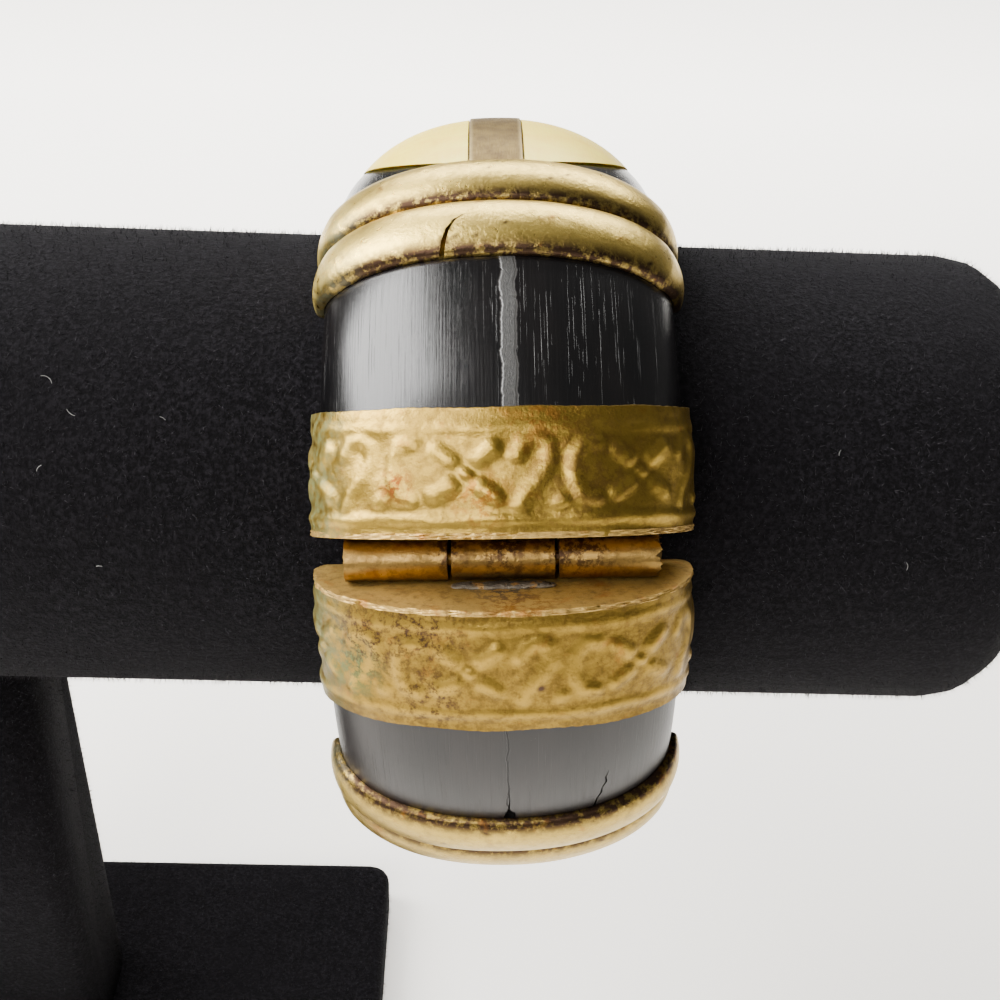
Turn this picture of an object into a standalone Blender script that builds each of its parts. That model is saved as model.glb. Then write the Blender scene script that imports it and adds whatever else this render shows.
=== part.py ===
"""A horn and brass hinged bangle hanging on a velvet T-bar stand. Metres, +Z up, the bar along X, the hinge in front.

The bangle is drawn round its own centre: X runs across it, the hinge lies towards -Y, the upper half towards +Z.
An empty then hangs it on the bar, turned and slightly tilted.
"""

import math

import bmesh
import bpy
from mathutils import Matrix, Vector

MM = 0.001

# Section of the horn: a flat inside, small round lips and a full dome outside
HORN_HALF_WIDTH = 16.2 * MM
HORN_CROWN_RADIUS = 39.0 * MM
DOME_RISE = 9.2 * MM
LIP_RADIUS = 0.5 * MM
DOME_FULLNESS = 2.15
DOME_STEPS = 18
LIP_STEPS = 2
HALF_RING_STEPS = 26

# Fits
SEAT_GAP = 0.2 * MM
END_GAP = 0.3 * MM
OVERLAP = 0.4 * MM

# Wedge-shaped gap between the halves, widest at the crown
GAP_HALF_AT_CROWN = 3.05 * MM
GAP_SLOPE = math.radians(8.2)

# Sheet brass caps: a sleeve round the horn, closed by an end plate
CAP_WALL = 0.6 * MM
PLATE_THICKNESS = 0.8 * MM
UPPER_CAP_LENGTH = 10.8 * MM
LOWER_CAP_LENGTH = 11.6 * MM
CAP_ROWS = 12
CAP_DOME_STEPS = 48
CAP_INNER_ROWS = 3

# Stamped relief of the caps: two border lines, and between them four-leaf crosses and scrolls
RELIEF_HEIGHT = 0.55 * MM
BORDER_INSET = 1.6 * MM
BORDER_HALF_WIDTH = 0.6 * MM
MOTIF_PITCH = 14.5 * MM
MOTIF_SIZE = 2.9 * MM
FIRST_CROSS = -2.9 * MM
STROKE_HALF_WIDTH = 0.8 * MM
# Strokes of one motif, from the middle of its cross, as shares of MOTIF_SIZE: across, then up
MOTIF_STROKES = (
    ((-0.95, -0.75), (-0.15, -0.12)),
    ((-0.95, 0.75), (-0.15, 0.12)),
    ((0.15, -0.12), (0.95, -0.75)),
    ((0.15, 0.12), (0.95, 0.75)),
    ((1.45, 0.45), (1.6, 0.85), (2.05, 1.0), (2.45, 0.75), (2.45, 0.3), (2.1, -0.2), (1.6, -0.7), (1.5, -0.95)),
    ((2.2, -0.85), (2.4, -0.8)),
    ((3.85, 0.85), (3.4, 0.9), (3.0, 0.45), (2.95, -0.2), (3.25, -0.75), (3.75, -0.8)),
    ((3.5, 0.1), (3.55, 0.0)),
)

# Hinge: three knuckles on one pin, the outer two on the upper half
HINGE_INSET = 6.0 * MM
KNUCKLE_RADIUS = 1.9 * MM
KNUCKLE_LENGTH = 9.0 * MM
KNUCKLE_GAP = 0.3 * MM
KNUCKLE_STEPS = 24
PIN_RADIUS = 0.7 * MM
PIN_CLEARANCE = 0.1 * MM
PIN_RECESS = 0.3 * MM

# Clasp: a plain barrel on the upper half with a tongue that slips into a slot of the lower half
CLASP_LENGTH = 24.0 * MM
TONGUE_WIDTH = 9.0 * MM
TONGUE_THICKNESS = 1.2 * MM
TONGUE_REACH = 2.4 * MM
SLOT_CLEARANCE = 0.35 * MM

# Half-round ribs, two and two, bent over the dome
RIB_WIDTH = 6.6 * MM
RIB_HEIGHT = 1.5 * MM
RIB_SPACING = 0.3 * MM
RIB_TO_FLAT = 0.9 * MM
RIB_PATH_STEPS = 22
RIB_ARC_STEPS = 6
RIB_END_SHARE = 0.35
RIB_TAPER_SHARE = 0.2
RIB_END_REACH = math.radians(14)
RIB_END_BEND = math.radians(22)

# Bone cap on a flat sawn across the upper half, with a metal strip let in along its crown
FLAT_DEPTH = 4.3 * MM
BONE_STEPS = 14
BONE_LIFT = 1.5 * MM
STRIP_WIDTH = 5.2 * MM
STRIP_THICKNESS = 1.2 * MM
STRIP_PROUD = 0.2 * MM
STRIP_STEPS = 16

# Stand, whose bar leaves this much room inside the bangle
BAR_ROOM = 4.9 * MM
BAR_LENGTH = 247.0 * MM
BAR_EDGE_RADIUS = 7.0 * MM
BAR_AXIS_HEIGHT = 104.5 * MM
BAR_STEPS = 44
BASE_LENGTH = 112.0 * MM
BASE_DEPTH = 50.0 * MM
BASE_THICKNESS = 8.0 * MM
BASE_CORNER_RADIUS = 3.0 * MM
BASE_EDGE_RADIUS = 1.5 * MM
POST_WIDTH = 32.0 * MM
POST_DEPTH = 16.0 * MM
POST_CORNER_RADIUS = 4.0 * MM
EDGE_STEPS = 4

# How the bangle hangs
BANGLE_FROM_BAR_END = 53.0 * MM
HINGE_LIFT = math.radians(24.2)
HANG_TILT = math.radians(3.0)

HORN_INNER_RADIUS = HORN_CROWN_RADIUS - DOME_RISE - LIP_RADIUS
HINGE_RADIUS = HORN_CROWN_RADIUS - HINGE_INSET
FLAT_HEIGHT = HORN_CROWN_RADIUS - FLAT_DEPTH
BAR_RADIUS = HORN_INNER_RADIUS - BAR_ROOM
BANGLE_ALONG_BAR = 0.5 * BAR_LENGTH - BANGLE_FROM_BAR_END
CAP_CROWN_RADIUS = HORN_CROWN_RADIUS + SEAT_GAP + CAP_WALL
TILT_DROP = HORN_HALF_WIDTH * math.sin(HANG_TILT)
BANGLE_DROP = HORN_INNER_RADIUS - BAR_RADIUS - END_GAP - TILT_DROP


def clear_scene():
    for obj in list(bpy.data.objects):
        bpy.data.objects.remove(obj, do_unlink=True)


def material(name, colour, roughness, metallic=0.0):
    made = bpy.data.materials.new(name)
    made.use_nodes = True
    shader = made.node_tree.nodes["Principled BSDF"]
    shader.inputs["Base Color"].default_value = (*colour, 1.0)
    shader.inputs["Roughness"].default_value = roughness
    shader.inputs["Metallic"].default_value = metallic
    return made


def ring_point(x, radius, angle):
    """A point at that angle from the hinge towards the upper half, at that radius from the bangle's centre."""
    return Vector((x, -radius * math.cos(angle), radius * math.sin(angle)))


def end_angle(radius, depth):
    """Angle, at that radius, of the plane that lies this deep behind a half's sloping end face."""
    offset = GAP_HALF_AT_CROWN * math.cos(GAP_SLOPE) + depth - CAP_CROWN_RADIUS * math.sin(GAP_SLOPE)
    return GAP_SLOPE + math.asin(offset / radius)


def dome_point(turn, grow=0.0):
    """(x, radius) on the dome, from the right edge at turn 0 to the left edge at turn pi."""
    power = 2 / DOME_FULLNESS
    across = math.copysign(abs(math.cos(turn)) ** power, math.cos(turn))
    rise = abs(math.sin(turn)) ** power
    widest = HORN_CROWN_RADIUS - DOME_RISE
    return (HORN_HALF_WIDTH + grow) * across, widest + (DOME_RISE + grow) * rise


def dome_turns(steps):
    """Turns of points that are evenly spaced along the dome, each with its distance from the crown."""
    fine = 40 * steps
    points = [dome_point(math.pi * k / fine) for k in range(fine + 1)]
    travelled = [0.0]
    for a, b in zip(points, points[1:]):
        travelled.append(travelled[-1] + math.dist(a, b))
    half = 0.5 * travelled[-1]
    turns = []
    k = 0
    for n in range(steps + 1):
        goal = 2 * half * n / steps
        while k < fine and travelled[k] < goal - 1e-9:
            k += 1
        turns.append((math.pi * k / fine, half - travelled[k]))
    return turns


def section(grow=0.0, turns=None, lift=None):
    """The closed D-shaped section as (x, radius) points, grown evenly; lift raises each dome point."""
    points = []
    for turn, across in turns or dome_turns(DOME_STEPS):
        extra = lift(across) if lift else 0.0
        points.append(dome_point(turn, grow + extra))
    widest = HORN_CROWN_RADIUS - DOME_RISE
    lip = LIP_RADIUS + grow
    centre = HORN_HALF_WIDTH + grow - lip
    for side in (-1, 1):
        corner = []
        for k in range(1, LIP_STEPS + 1):
            turn = 0.5 * math.pi * k / LIP_STEPS
            corner.append((side * (centre + lip * math.cos(turn)), widest - lip * math.sin(turn)))
        points += corner if side < 0 else corner[::-1]
    return points


def loft(name, rows, paint, smooth_angle=40):
    """One closed solid through rows of points, each row a closed loop of the same count, capped at both ends."""
    mesh = bmesh.new()
    loops = [[mesh.verts.new(point) for point in row] for row in rows]
    for low, high in zip(loops, loops[1:]):
        for k in range(len(low)):
            n = (k + 1) % len(low)
            mesh.faces.new((low[k], low[n], high[n], high[k]))
    mesh.faces.new(loops[0][::-1])
    mesh.faces.new(loops[-1])
    return finish(name, mesh, paint, smooth_angle)


def finish(name, mesh, paint, smooth_angle=40):
    bmesh.ops.recalc_face_normals(mesh, faces=mesh.faces)
    data = bpy.data.meshes.new(name)
    mesh.to_mesh(data)
    mesh.free()
    data.shade_smooth()
    data.set_sharp_from_angle(angle=math.radians(smooth_angle))
    if paint:
        data.materials.append(paint)
    obj = bpy.data.objects.new(name, data)
    bpy.context.scene.collection.objects.link(obj)
    return obj


def box(name, low, high, paint=None):
    mesh = bmesh.new()
    size = [h - l for l, h in zip(low, high)]
    middle = [(l + h) / 2 for l, h in zip(low, high)]
    matrix = Matrix.Translation(middle) @ Matrix.Diagonal((*size, 1.0))
    bmesh.ops.create_cube(mesh, size=1.0, matrix=matrix)
    return finish(name, mesh, paint)


def boolean(obj, tool, operation):
    """Joins or cuts obj with a helper that isn't itself part of the object."""
    tool.hide_render = True
    tool.display_type = "WIRE"
    modifier = obj.modifiers.new(f"{operation.lower()} {tool.name}", "BOOLEAN")
    modifier.operation = operation
    modifier.solver = "EXACT"
    modifier.object = tool


def turned(rows, side_y=1, side_z=1):
    """The rows moved to another end or half: -1 mirrors them front to back, or upper to lower."""
    return [[Vector((p.x, p.y * side_y, p.z * side_z)) for p in row] for row in rows]


def half_ring_rows(depth, grow=0.0, steps=HALF_RING_STEPS):
    """Rows of a half ring whose two ends lie this deep behind the end faces."""
    rows = []
    for k in range(steps + 1):
        row = []
        for x, radius in section(grow):
            start = end_angle(radius, depth)
            angle = start + (math.pi - 2 * start) * k / steps
            row.append(ring_point(x, radius, angle))
        rows.append(row)
    return rows


def stroke_height(distance):
    """Height of a stamped line at this distance from its middle."""
    share = min(1.0, distance / STROKE_HALF_WIDTH)
    return 1 - share * share


def stroke_distance(point, stroke):
    """Distance from a point to a line of short straight strokes, both in shares of MOTIF_SIZE."""
    nearest = 9.0
    for start, end in zip(stroke, stroke[1:]):
        dx, dy = end[0] - start[0], end[1] - start[1]
        along = ((point[0] - start[0]) * dx + (point[1] - start[1]) * dy) / (dx * dx + dy * dy)
        along = min(1.0, max(0.0, along))
        nearest = min(nearest, math.dist(point, (start[0] + along * dx, start[1] + along * dy)))
    return nearest


def relief(across, up, length):
    """Height of the stamped pattern, across the bangle from its crown and up from the cap's lower edge."""
    height = 0.0
    for line in (BORDER_INSET, length - BORDER_INSET):
        height = max(height, 0.75 * stroke_height(abs(up - line) * STROKE_HALF_WIDTH / BORDER_HALF_WIDTH))
    place = (across - FIRST_CROSS + 0.4 * MOTIF_PITCH) % MOTIF_PITCH - 0.4 * MOTIF_PITCH
    for shift in (0, MOTIF_PITCH):
        point = ((place + shift) / MOTIF_SIZE, (up - 0.5 * length) / MOTIF_SIZE)
        for stroke in MOTIF_STROKES:
            height = max(height, stroke_height(stroke_distance(point, stroke) * MOTIF_SIZE))
    return RELIEF_HEIGHT * height


def cap_rows(length, upright):
    """Rows of a cap, from its end plate out along the stamped sleeve, over its rim and back inside to the plate."""
    outer_grow = SEAT_GAP + CAP_WALL
    turns = dome_turns(CAP_DOME_STEPS)
    rows = []
    for k in range(CAP_ROWS + 1):
        depth = length * k / CAP_ROWS
        inside_edges = 0 < k < CAP_ROWS
        up = depth if upright else length - depth

        def lift(across):
            return relief(across, up, length) if inside_edges else 0.0

        profile = section(outer_grow, turns, lift)
        rows.append([ring_point(x, r, end_angle(r, depth)) for x, r in profile])
    for k in range(CAP_INNER_ROWS + 1):
        depth = length + (PLATE_THICKNESS - length) * k / CAP_INNER_ROWS
        profile = section(SEAT_GAP, turns)
        rows.append([ring_point(x, r, end_angle(r, depth)) for x, r in profile])
    return rows


def plate_distance():
    """Distance from the hinge's axis to the plane of an end plate."""
    height = GAP_HALF_AT_CROWN + (HINGE_RADIUS - CAP_CROWN_RADIUS) * math.tan(GAP_SLOPE)
    return height * math.cos(GAP_SLOPE)


def knuckle(name, centre_x, length, bored=True):
    """A rolled knuckle with a foot that reaches into the upper end plate, along X."""
    normal = Vector((0, math.sin(GAP_SLOPE), math.cos(GAP_SLOPE)))
    lateral = Vector((0, math.cos(GAP_SLOPE), -math.sin(GAP_SLOPE)))
    axis = ring_point(0, HINGE_RADIUS, 0)
    foot = plate_distance() + OVERLAP
    outer, inner = [], []
    bore = PIN_RADIUS + PIN_CLEARANCE
    for k in range(KNUCKLE_STEPS):
        turn = math.tau * k / KNUCKLE_STEPS
        sideways, outwards = math.sin(turn), math.cos(turn)
        towards_plate = outwards > 1e-6
        height = foot if towards_plate else KNUCKLE_RADIUS * outwards
        outer.append(axis + lateral * KNUCKLE_RADIUS * sideways + normal * height)
        inner.append(axis + lateral * bore * sideways + normal * bore * outwards)
    ends = [Vector((centre_x + side * length / 2, 0, 0)) for side in (-1, 1)]
    if not bored:
        return loft(name, [[p + end for p in outer] for end in ends], None)
    mesh = bmesh.new()
    loops = [[mesh.verts.new(p + end) for p in loop] for end in ends for loop in (outer, inner)]
    order = (loops[0], loops[2], loops[3], loops[1])
    for low, high in zip(order, order[1:] + order[:1]):
        for k in range(KNUCKLE_STEPS):
            n = (k + 1) % KNUCKLE_STEPS
            mesh.faces.new((low[k], low[n], high[n], high[k]))
    return finish(name, mesh, None)


def mirrored_solid(obj, side_y, side_z):
    """The same solid at another end or half of the bangle, facing out again."""
    obj.data.transform(Matrix.Diagonal((1, side_y, side_z, 1)))
    if side_y * side_z < 0:
        obj.data.flip_normals()
    return obj


def make_horn(name, side_z, paint):
    rows = turned(half_ring_rows(PLATE_THICKNESS + END_GAP), side_z=side_z)
    return loft(name, rows, paint)


def make_cap(name, length, side_y, side_z, paint):
    return loft(name, turned(cap_rows(length, side_z > 0), side_y, side_z), paint)


def rib_rows(centre_angle):
    """Half-round sections along the dome, from one lip to the other, thinning where they turn round the edge."""
    reach = RIB_END_REACH
    start, end = -reach, math.pi + reach
    rows = []
    for k in range(RIB_PATH_STEPS + 1):
        turn = start + (end - start) * k / RIB_PATH_STEPS
        x, radius, normal = rib_path(turn)
        near_end = min(k, RIB_PATH_STEPS - k) / (RIB_TAPER_SHARE * RIB_PATH_STEPS)
        share = RIB_END_SHARE + (1 - RIB_END_SHARE) * min(1.0, near_end)
        row = []
        for j in range(RIB_ARC_STEPS + 1):
            arc = math.pi * j / RIB_ARC_STEPS
            wide = 0.5 * RIB_WIDTH * share * math.cos(arc)
            high = SEAT_GAP + RIB_HEIGHT * share * math.sin(arc)
            angle = centre_angle + wide / HORN_CROWN_RADIUS
            row.append(ring_point(x + normal[0] * high, radius + normal[1] * high, angle))
        rows.append(row)
    return rows


def rib_path(turn):
    """(x, radius, outward normal) on the dome, or on the lip where turn runs past the dome's ends."""
    if 0 <= turn <= math.pi:
        x, radius = dome_point(turn)
        step = 0.01
        ahead = dome_point(min(math.pi, turn + step))
        behind = dome_point(max(0.0, turn - step))
        tangent = Vector((ahead[0] - behind[0], ahead[1] - behind[1])).normalized()
        return x, radius, (tangent.y, -tangent.x)
    side = 1 if turn < 0 else -1
    past = -turn if turn < 0 else turn - math.pi
    bend = past / RIB_END_REACH * RIB_END_BEND
    centre = HORN_HALF_WIDTH - LIP_RADIUS
    widest = HORN_CROWN_RADIUS - DOME_RISE
    normal = (side * math.cos(bend), -math.sin(bend))
    return side * centre + LIP_RADIUS * normal[0], widest + LIP_RADIUS * normal[1], normal


def make_ribs(paint):
    """Four ribs on each half, in pairs near its two ends."""
    ribs = []
    step = (RIB_WIDTH + RIB_SPACING) / HORN_CROWN_RADIUS
    flat_edge = 0.5 * math.pi - bone_reach()
    first = flat_edge - (RIB_TO_FLAT + 0.5 * RIB_WIDTH) / HORN_CROWN_RADIUS - step
    places = {"front_a": first, "front_b": first + step}
    places.update({"back_b": math.pi - first - step, "back_a": math.pi - first})
    for half, side_z in (("upper", 1), ("lower", -1)):
        for place, angle in places.items():
            rows = turned(rib_rows(angle), side_z=side_z)
            ribs.append(loft(f"{half}_rib_{place}", rows, paint, 50))
    return ribs


def strip_rows(wider, deeper, higher, longer):
    """A curved bar along the crown: the strip itself, or its groove when it is made larger."""
    half = 0.5 * STRIP_WIDTH + wider
    low = HORN_CROWN_RADIUS - STRIP_THICKNESS - deeper
    high = HORN_CROWN_RADIUS + STRIP_PROUD + higher
    edge_drop = 0.5 * half * half / HORN_HALF_WIDTH ** 2 * DOME_RISE
    reach = bone_reach() + longer / HORN_CROWN_RADIUS
    profile = [(half, low), (half, high - edge_drop), (0, high), (-half, high - edge_drop), (-half, low)]
    rows = []
    for k in range(STRIP_STEPS + 1):
        angle = 0.5 * math.pi + reach * (2 * k / STRIP_STEPS - 1)
        lift = bone_lift(angle)
        rows.append([ring_point(x, r + lift, angle) for x, r in profile])
    return rows


def bone_reach():
    """Half the angle that the sawn flat takes out of the horn's crown."""
    return math.acos(FLAT_HEIGHT / HORN_CROWN_RADIUS)


def bone_lift(angle):
    """How far the bone's crown stands above the horn's circle, at an angle from the hinge."""
    share = min(1.0, abs(angle - 0.5 * math.pi) / bone_reach())
    return BONE_LIFT * (1 - share * share)


def bone_rows():
    """The blank of the bone cap, a little longer than the flat, with its dome raised in the middle."""
    reach = 1.08 * bone_reach()
    rows = []
    for k in range(BONE_STEPS + 1):
        angle = 0.5 * math.pi + reach * (2 * k / BONE_STEPS - 1)
        share = bone_lift(angle) / DOME_RISE
        row = []
        for x, radius in section():
            rise = max(0.0, radius - HORN_CROWN_RADIUS + DOME_RISE)
            row.append(ring_point(x, radius + share * rise, angle))
        rows.append(row)
    return rows


def make_bone_and_strip(horn, bone_paint, strip_paint):
    """Saws the flat on the upper horn, and seats the bone and the strip on it."""
    reach = HORN_CROWN_RADIUS
    width = 2 * HORN_HALF_WIDTH
    top = HORN_CROWN_RADIUS + 2 * BONE_LIFT
    saw = box("flat_saw", (-width, -reach, FLAT_HEIGHT), (width, reach, top))
    boolean(horn, saw, "DIFFERENCE")
    groove = loft("groove", strip_rows(SEAT_GAP, SEAT_GAP, 2 * BONE_LIFT, SEAT_GAP), None)
    boolean(horn, groove, "DIFFERENCE")
    bone = loft("bone_cap", bone_rows(), bone_paint)
    keep = box("bone_blank", (-width, -reach, FLAT_HEIGHT + SEAT_GAP), (width, reach, top))
    boolean(bone, keep, "INTERSECT")
    boolean(bone, groove, "DIFFERENCE")
    strip = loft("crown_strip", strip_rows(0, 0, 0, -SEAT_GAP), strip_paint, 60)
    return [bone, strip, saw, groove, keep]


def make_hinge(upper_cap, lower_cap, paint):
    """Solders the knuckles to the two caps and puts the pin through them."""
    step = KNUCKLE_LENGTH + KNUCKLE_GAP
    left = knuckle("left_knuckle", -step, KNUCKLE_LENGTH)
    right = knuckle("right_knuckle", step, KNUCKLE_LENGTH)
    middle = mirrored_solid(knuckle("middle_knuckle", 0, KNUCKLE_LENGTH), 1, -1)
    boolean(upper_cap, left, "UNION")
    boolean(upper_cap, right, "UNION")
    boolean(lower_cap, middle, "UNION")
    half = step + 0.5 * KNUCKLE_LENGTH - PIN_RECESS
    rows = []
    for x in (-half, half):
        row = []
        for k in range(KNUCKLE_STEPS):
            turn = math.tau * k / KNUCKLE_STEPS
            offset = Vector((x, PIN_RADIUS * math.cos(turn), PIN_RADIUS * math.sin(turn)))
            row.append(ring_point(0, HINGE_RADIUS, 0) + offset)
        rows.append(row)
    return [loft("hinge_pin", rows, paint), left, right, middle]


def make_clasp(lower_cap, lower_horn, paint):
    """The clasp is one plain piece: a barrel along the gap, with a tongue that enters the lower half."""
    barrel = mirrored_solid(knuckle("clasp", 0, CLASP_LENGTH, bored=False), -1, 1)
    barrel.data.materials.append(paint)
    rise = plate_distance()
    foot = box("clasp_foot_trim", (-CLASP_LENGTH, -4 * KNUCKLE_RADIUS, 0), (CLASP_LENGTH, 4 * KNUCKLE_RADIUS, 2 * KNUCKLE_RADIUS))
    foot.location = (0, HINGE_RADIUS, 0)
    foot.data.transform(Matrix.Translation((0, 0, rise - SEAT_GAP)))
    foot.rotation_euler = (GAP_SLOPE, 0, 0)
    tongue = box(
        "clasp_tongue",
        (-0.5 * TONGUE_WIDTH, -0.5 * TONGUE_THICKNESS, -rise - TONGUE_REACH),
        (0.5 * TONGUE_WIDTH, 0.5 * TONGUE_THICKNESS, 0),
    )
    tongue.location = (0, HINGE_RADIUS, 0)
    room = SLOT_CLEARANCE
    slot = box(
        "tongue_slot",
        (-0.5 * TONGUE_WIDTH - room, -0.5 * TONGUE_THICKNESS - room, -rise - TONGUE_REACH - 2 * room),
        (0.5 * TONGUE_WIDTH + room, 0.5 * TONGUE_THICKNESS + room, 0),
    )
    slot.location = (0, HINGE_RADIUS, 0)
    boolean(barrel, foot, "DIFFERENCE")
    boolean(barrel, tongue, "UNION")
    boolean(lower_cap, slot, "DIFFERENCE")
    boolean(lower_horn, slot, "DIFFERENCE")
    return [barrel, foot, tongue, slot]


def rounded_outline(width, depth, radius):
    """The corner-rounded outline of a post or base, as (x, y) points."""
    points = []
    corners = ((1, 1, 0), (-1, 1, 1), (-1, -1, 2), (1, -1, 3))
    for side_x, side_y, quarter in corners:
        for k in range(EDGE_STEPS + 1):
            turn = 0.5 * math.pi * (quarter + k / EDGE_STEPS)
            x = side_x * (0.5 * width - radius) + radius * math.cos(turn)
            y = side_y * (0.5 * depth - radius) + radius * math.sin(turn)
            points.append((x, y))
    return points


def bar_rows(grow=0.0):
    """Rings along the bar, with round edges at both ends."""
    places = []
    for k in range(EDGE_STEPS + 1):
        turn = 0.5 * math.pi * k / EDGE_STEPS
        inset = BAR_EDGE_RADIUS * (1 - math.sin(turn))
        drop = BAR_EDGE_RADIUS * (1 - math.cos(turn))
        places.append((0.5 * BAR_LENGTH - drop, BAR_RADIUS - inset + grow))
    places = [(-x, r) for x, r in places] + places[::-1]
    places.sort(key=lambda place: place[0])
    rows = []
    for x, radius in places:
        row = []
        for k in range(BAR_STEPS):
            turn = math.tau * k / BAR_STEPS
            row.append(Vector((x, radius * math.cos(turn), BAR_AXIS_HEIGHT + radius * math.sin(turn))))
        rows.append(row)
    return rows


def make_stand(paint):
    bar = loft("stand_bar", bar_rows(), paint)
    base_rows = []
    outline = rounded_outline(BASE_LENGTH, BASE_DEPTH, BASE_CORNER_RADIUS)
    for k in range(-1, EDGE_STEPS + 1):
        turn = 0.5 * math.pi * max(k, 0) / EDGE_STEPS
        inset = BASE_EDGE_RADIUS * (1 - math.cos(turn))
        height = 0 if k < 0 else BASE_THICKNESS - BASE_EDGE_RADIUS * (1 - math.sin(turn))
        share_x, share_y = 1 - 2 * inset / BASE_LENGTH, 1 - 2 * inset / BASE_DEPTH
        base_rows.append([Vector((x * share_x, y * share_y, height)) for x, y in outline])
    base = loft("stand_base", base_rows, paint)
    outline = rounded_outline(POST_WIDTH, POST_DEPTH, POST_CORNER_RADIUS)
    heights = (BASE_THICKNESS + END_GAP, BAR_AXIS_HEIGHT)
    post = loft("stand_post", [[Vector((x, y, z)) for x, y in outline] for z in heights], paint)
    saddle = loft("post_saddle", bar_rows(END_GAP), None)
    boolean(post, saddle, "DIFFERENCE")
    return [bar, base, post]


def main():
    clear_scene()
    horn_paint = material("black_horn", (0.025, 0.022, 0.022), 0.32)
    brass_paint = material("aged_brass", (0.62, 0.47, 0.20), 0.38, 1.0)
    hinge_paint = material("hinge_brass", (0.50, 0.33, 0.12), 0.42, 1.0)
    bone_paint = material("pale_bone", (0.86, 0.77, 0.50), 0.35)
    strip_paint = material("dull_nickel", (0.42, 0.36, 0.25), 0.40, 1.0)
    velvet_paint = material("black_velvet", (0.012, 0.012, 0.014), 0.95)

    upper_horn = make_horn("upper_horn", 1, horn_paint)
    lower_horn = make_horn("lower_horn", -1, horn_paint)
    upper_hinge_cap = make_cap("upper_hinge_cap", UPPER_CAP_LENGTH, 1, 1, brass_paint)
    lower_hinge_cap = make_cap("lower_hinge_cap", LOWER_CAP_LENGTH, 1, -1, brass_paint)
    upper_clasp_cap = make_cap("upper_clasp_cap", UPPER_CAP_LENGTH, -1, 1, brass_paint)
    lower_clasp_cap = make_cap("lower_clasp_cap", LOWER_CAP_LENGTH, -1, -1, brass_paint)
    pieces = [upper_horn, lower_horn, upper_hinge_cap, lower_hinge_cap, upper_clasp_cap, lower_clasp_cap]
    pieces += make_ribs(brass_paint)
    pieces += make_bone_and_strip(upper_horn, bone_paint, strip_paint)
    pieces += make_hinge(upper_hinge_cap, lower_hinge_cap, hinge_paint)
    pieces += make_clasp(lower_clasp_cap, lower_horn, hinge_paint)

    hanger = bpy.data.objects.new("bangle", None)
    bpy.context.scene.collection.objects.link(hanger)
    hanger.location = (BANGLE_ALONG_BAR, 0, BAR_AXIS_HEIGHT - BANGLE_DROP)
    hanger.rotation_euler = (-HINGE_LIFT, -HANG_TILT, 0)
    for piece in pieces:
        piece.parent = hanger

    make_stand(velvet_paint)


main()
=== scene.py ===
# %% [markdown]
# # A horn bangle on a velvet bar
# The real object is an old bangle of dark horn that opens on a brass hinge. Stamped brass bands close the
# ends of its two halves, half-round ribs are bent over the horn, and a bone cap sits on its crown. It hangs
# on a T-bar stand covered in black velvet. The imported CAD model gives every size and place, and this lesson
# dresses it.

import math
import random

import bpy
import numpy as np
from mathutils import Euler, Matrix, Vector


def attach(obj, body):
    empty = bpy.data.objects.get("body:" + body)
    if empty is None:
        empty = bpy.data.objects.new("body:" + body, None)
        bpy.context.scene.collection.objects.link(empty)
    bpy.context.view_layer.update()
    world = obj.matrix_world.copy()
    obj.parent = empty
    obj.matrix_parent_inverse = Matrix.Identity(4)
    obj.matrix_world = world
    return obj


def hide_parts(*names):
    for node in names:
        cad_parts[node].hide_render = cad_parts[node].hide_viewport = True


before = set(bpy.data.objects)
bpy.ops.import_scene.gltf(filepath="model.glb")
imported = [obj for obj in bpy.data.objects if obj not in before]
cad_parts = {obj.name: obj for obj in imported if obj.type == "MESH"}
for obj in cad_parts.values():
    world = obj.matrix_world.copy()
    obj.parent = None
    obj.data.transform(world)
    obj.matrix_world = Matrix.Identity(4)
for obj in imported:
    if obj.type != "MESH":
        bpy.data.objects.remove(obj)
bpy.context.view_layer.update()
STAND_BODY = "stand_and_upper_half"
LOWER_BODY = "lower_half"
MM = 0.001
print("nodes in the frame:", len(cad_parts))

# %% [markdown]
# The bangle is easiest to think about round its own centre: X across it, the hinge towards -Y, the upper
# half towards +Z. One matrix then hangs it on the bar, turned and tilted. The D of the horn is HALF_WIDTH to
# each side, its dome rises by RISE to CROWN, and LIP rounds its inner edges. The halves meet at faces that
# slope by GAP_SLOPE. All these numbers are the CAD's.

# %% How the bangle hangs
CENTRE = (70.5 * MM, 0, 100.748 * MM)
HINGE_RAISED = math.radians(-24.2)
SIDEWAYS_LEAN = math.radians(-3)
HANG = Matrix.Translation(CENTRE) @ Euler((HINGE_RAISED, SIDEWAYS_LEAN, 0)).to_matrix().to_4x4()
HALF_WIDTH = 16.2 * MM
CROWN = 39.0 * MM
RISE = 9.2 * MM
LIP = 0.5 * MM
FULLNESS = 2.15
WIDEST = CROWN - RISE
GAP_SLOPE = math.radians(8.2)
GAP_HALF = 3.05 * MM
BAND_THICKNESS = 0.8 * MM
CAP_CROWN = CROWN + BAND_THICKNESS


def hung(x, y, z):
    """World places of points in the bangle's own space."""
    x, y, z = np.broadcast_arrays(x, y, z)
    return (np.stack([x, y, z, np.ones_like(x)], axis=-1) @ np.array(HANG).T)[..., :3]


def ring_points(x, radius, angle, half=1, end=1):
    """World places of points given across the bangle, from its centre, and by angle from the hinge."""
    return hung(x, -radius * np.cos(angle) * end, radius * np.sin(angle) * half)


def end_angle(radius, depth):
    """Angle of the plane that lies this deep behind a half's sloping end face."""
    offset = GAP_HALF * math.cos(GAP_SLOPE) + depth - CAP_CROWN * math.sin(GAP_SLOPE)
    return GAP_SLOPE + np.arcsin(offset / radius)


print("centre of the bangle:", [round(c, 4) for c in HANG.translation])

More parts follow.
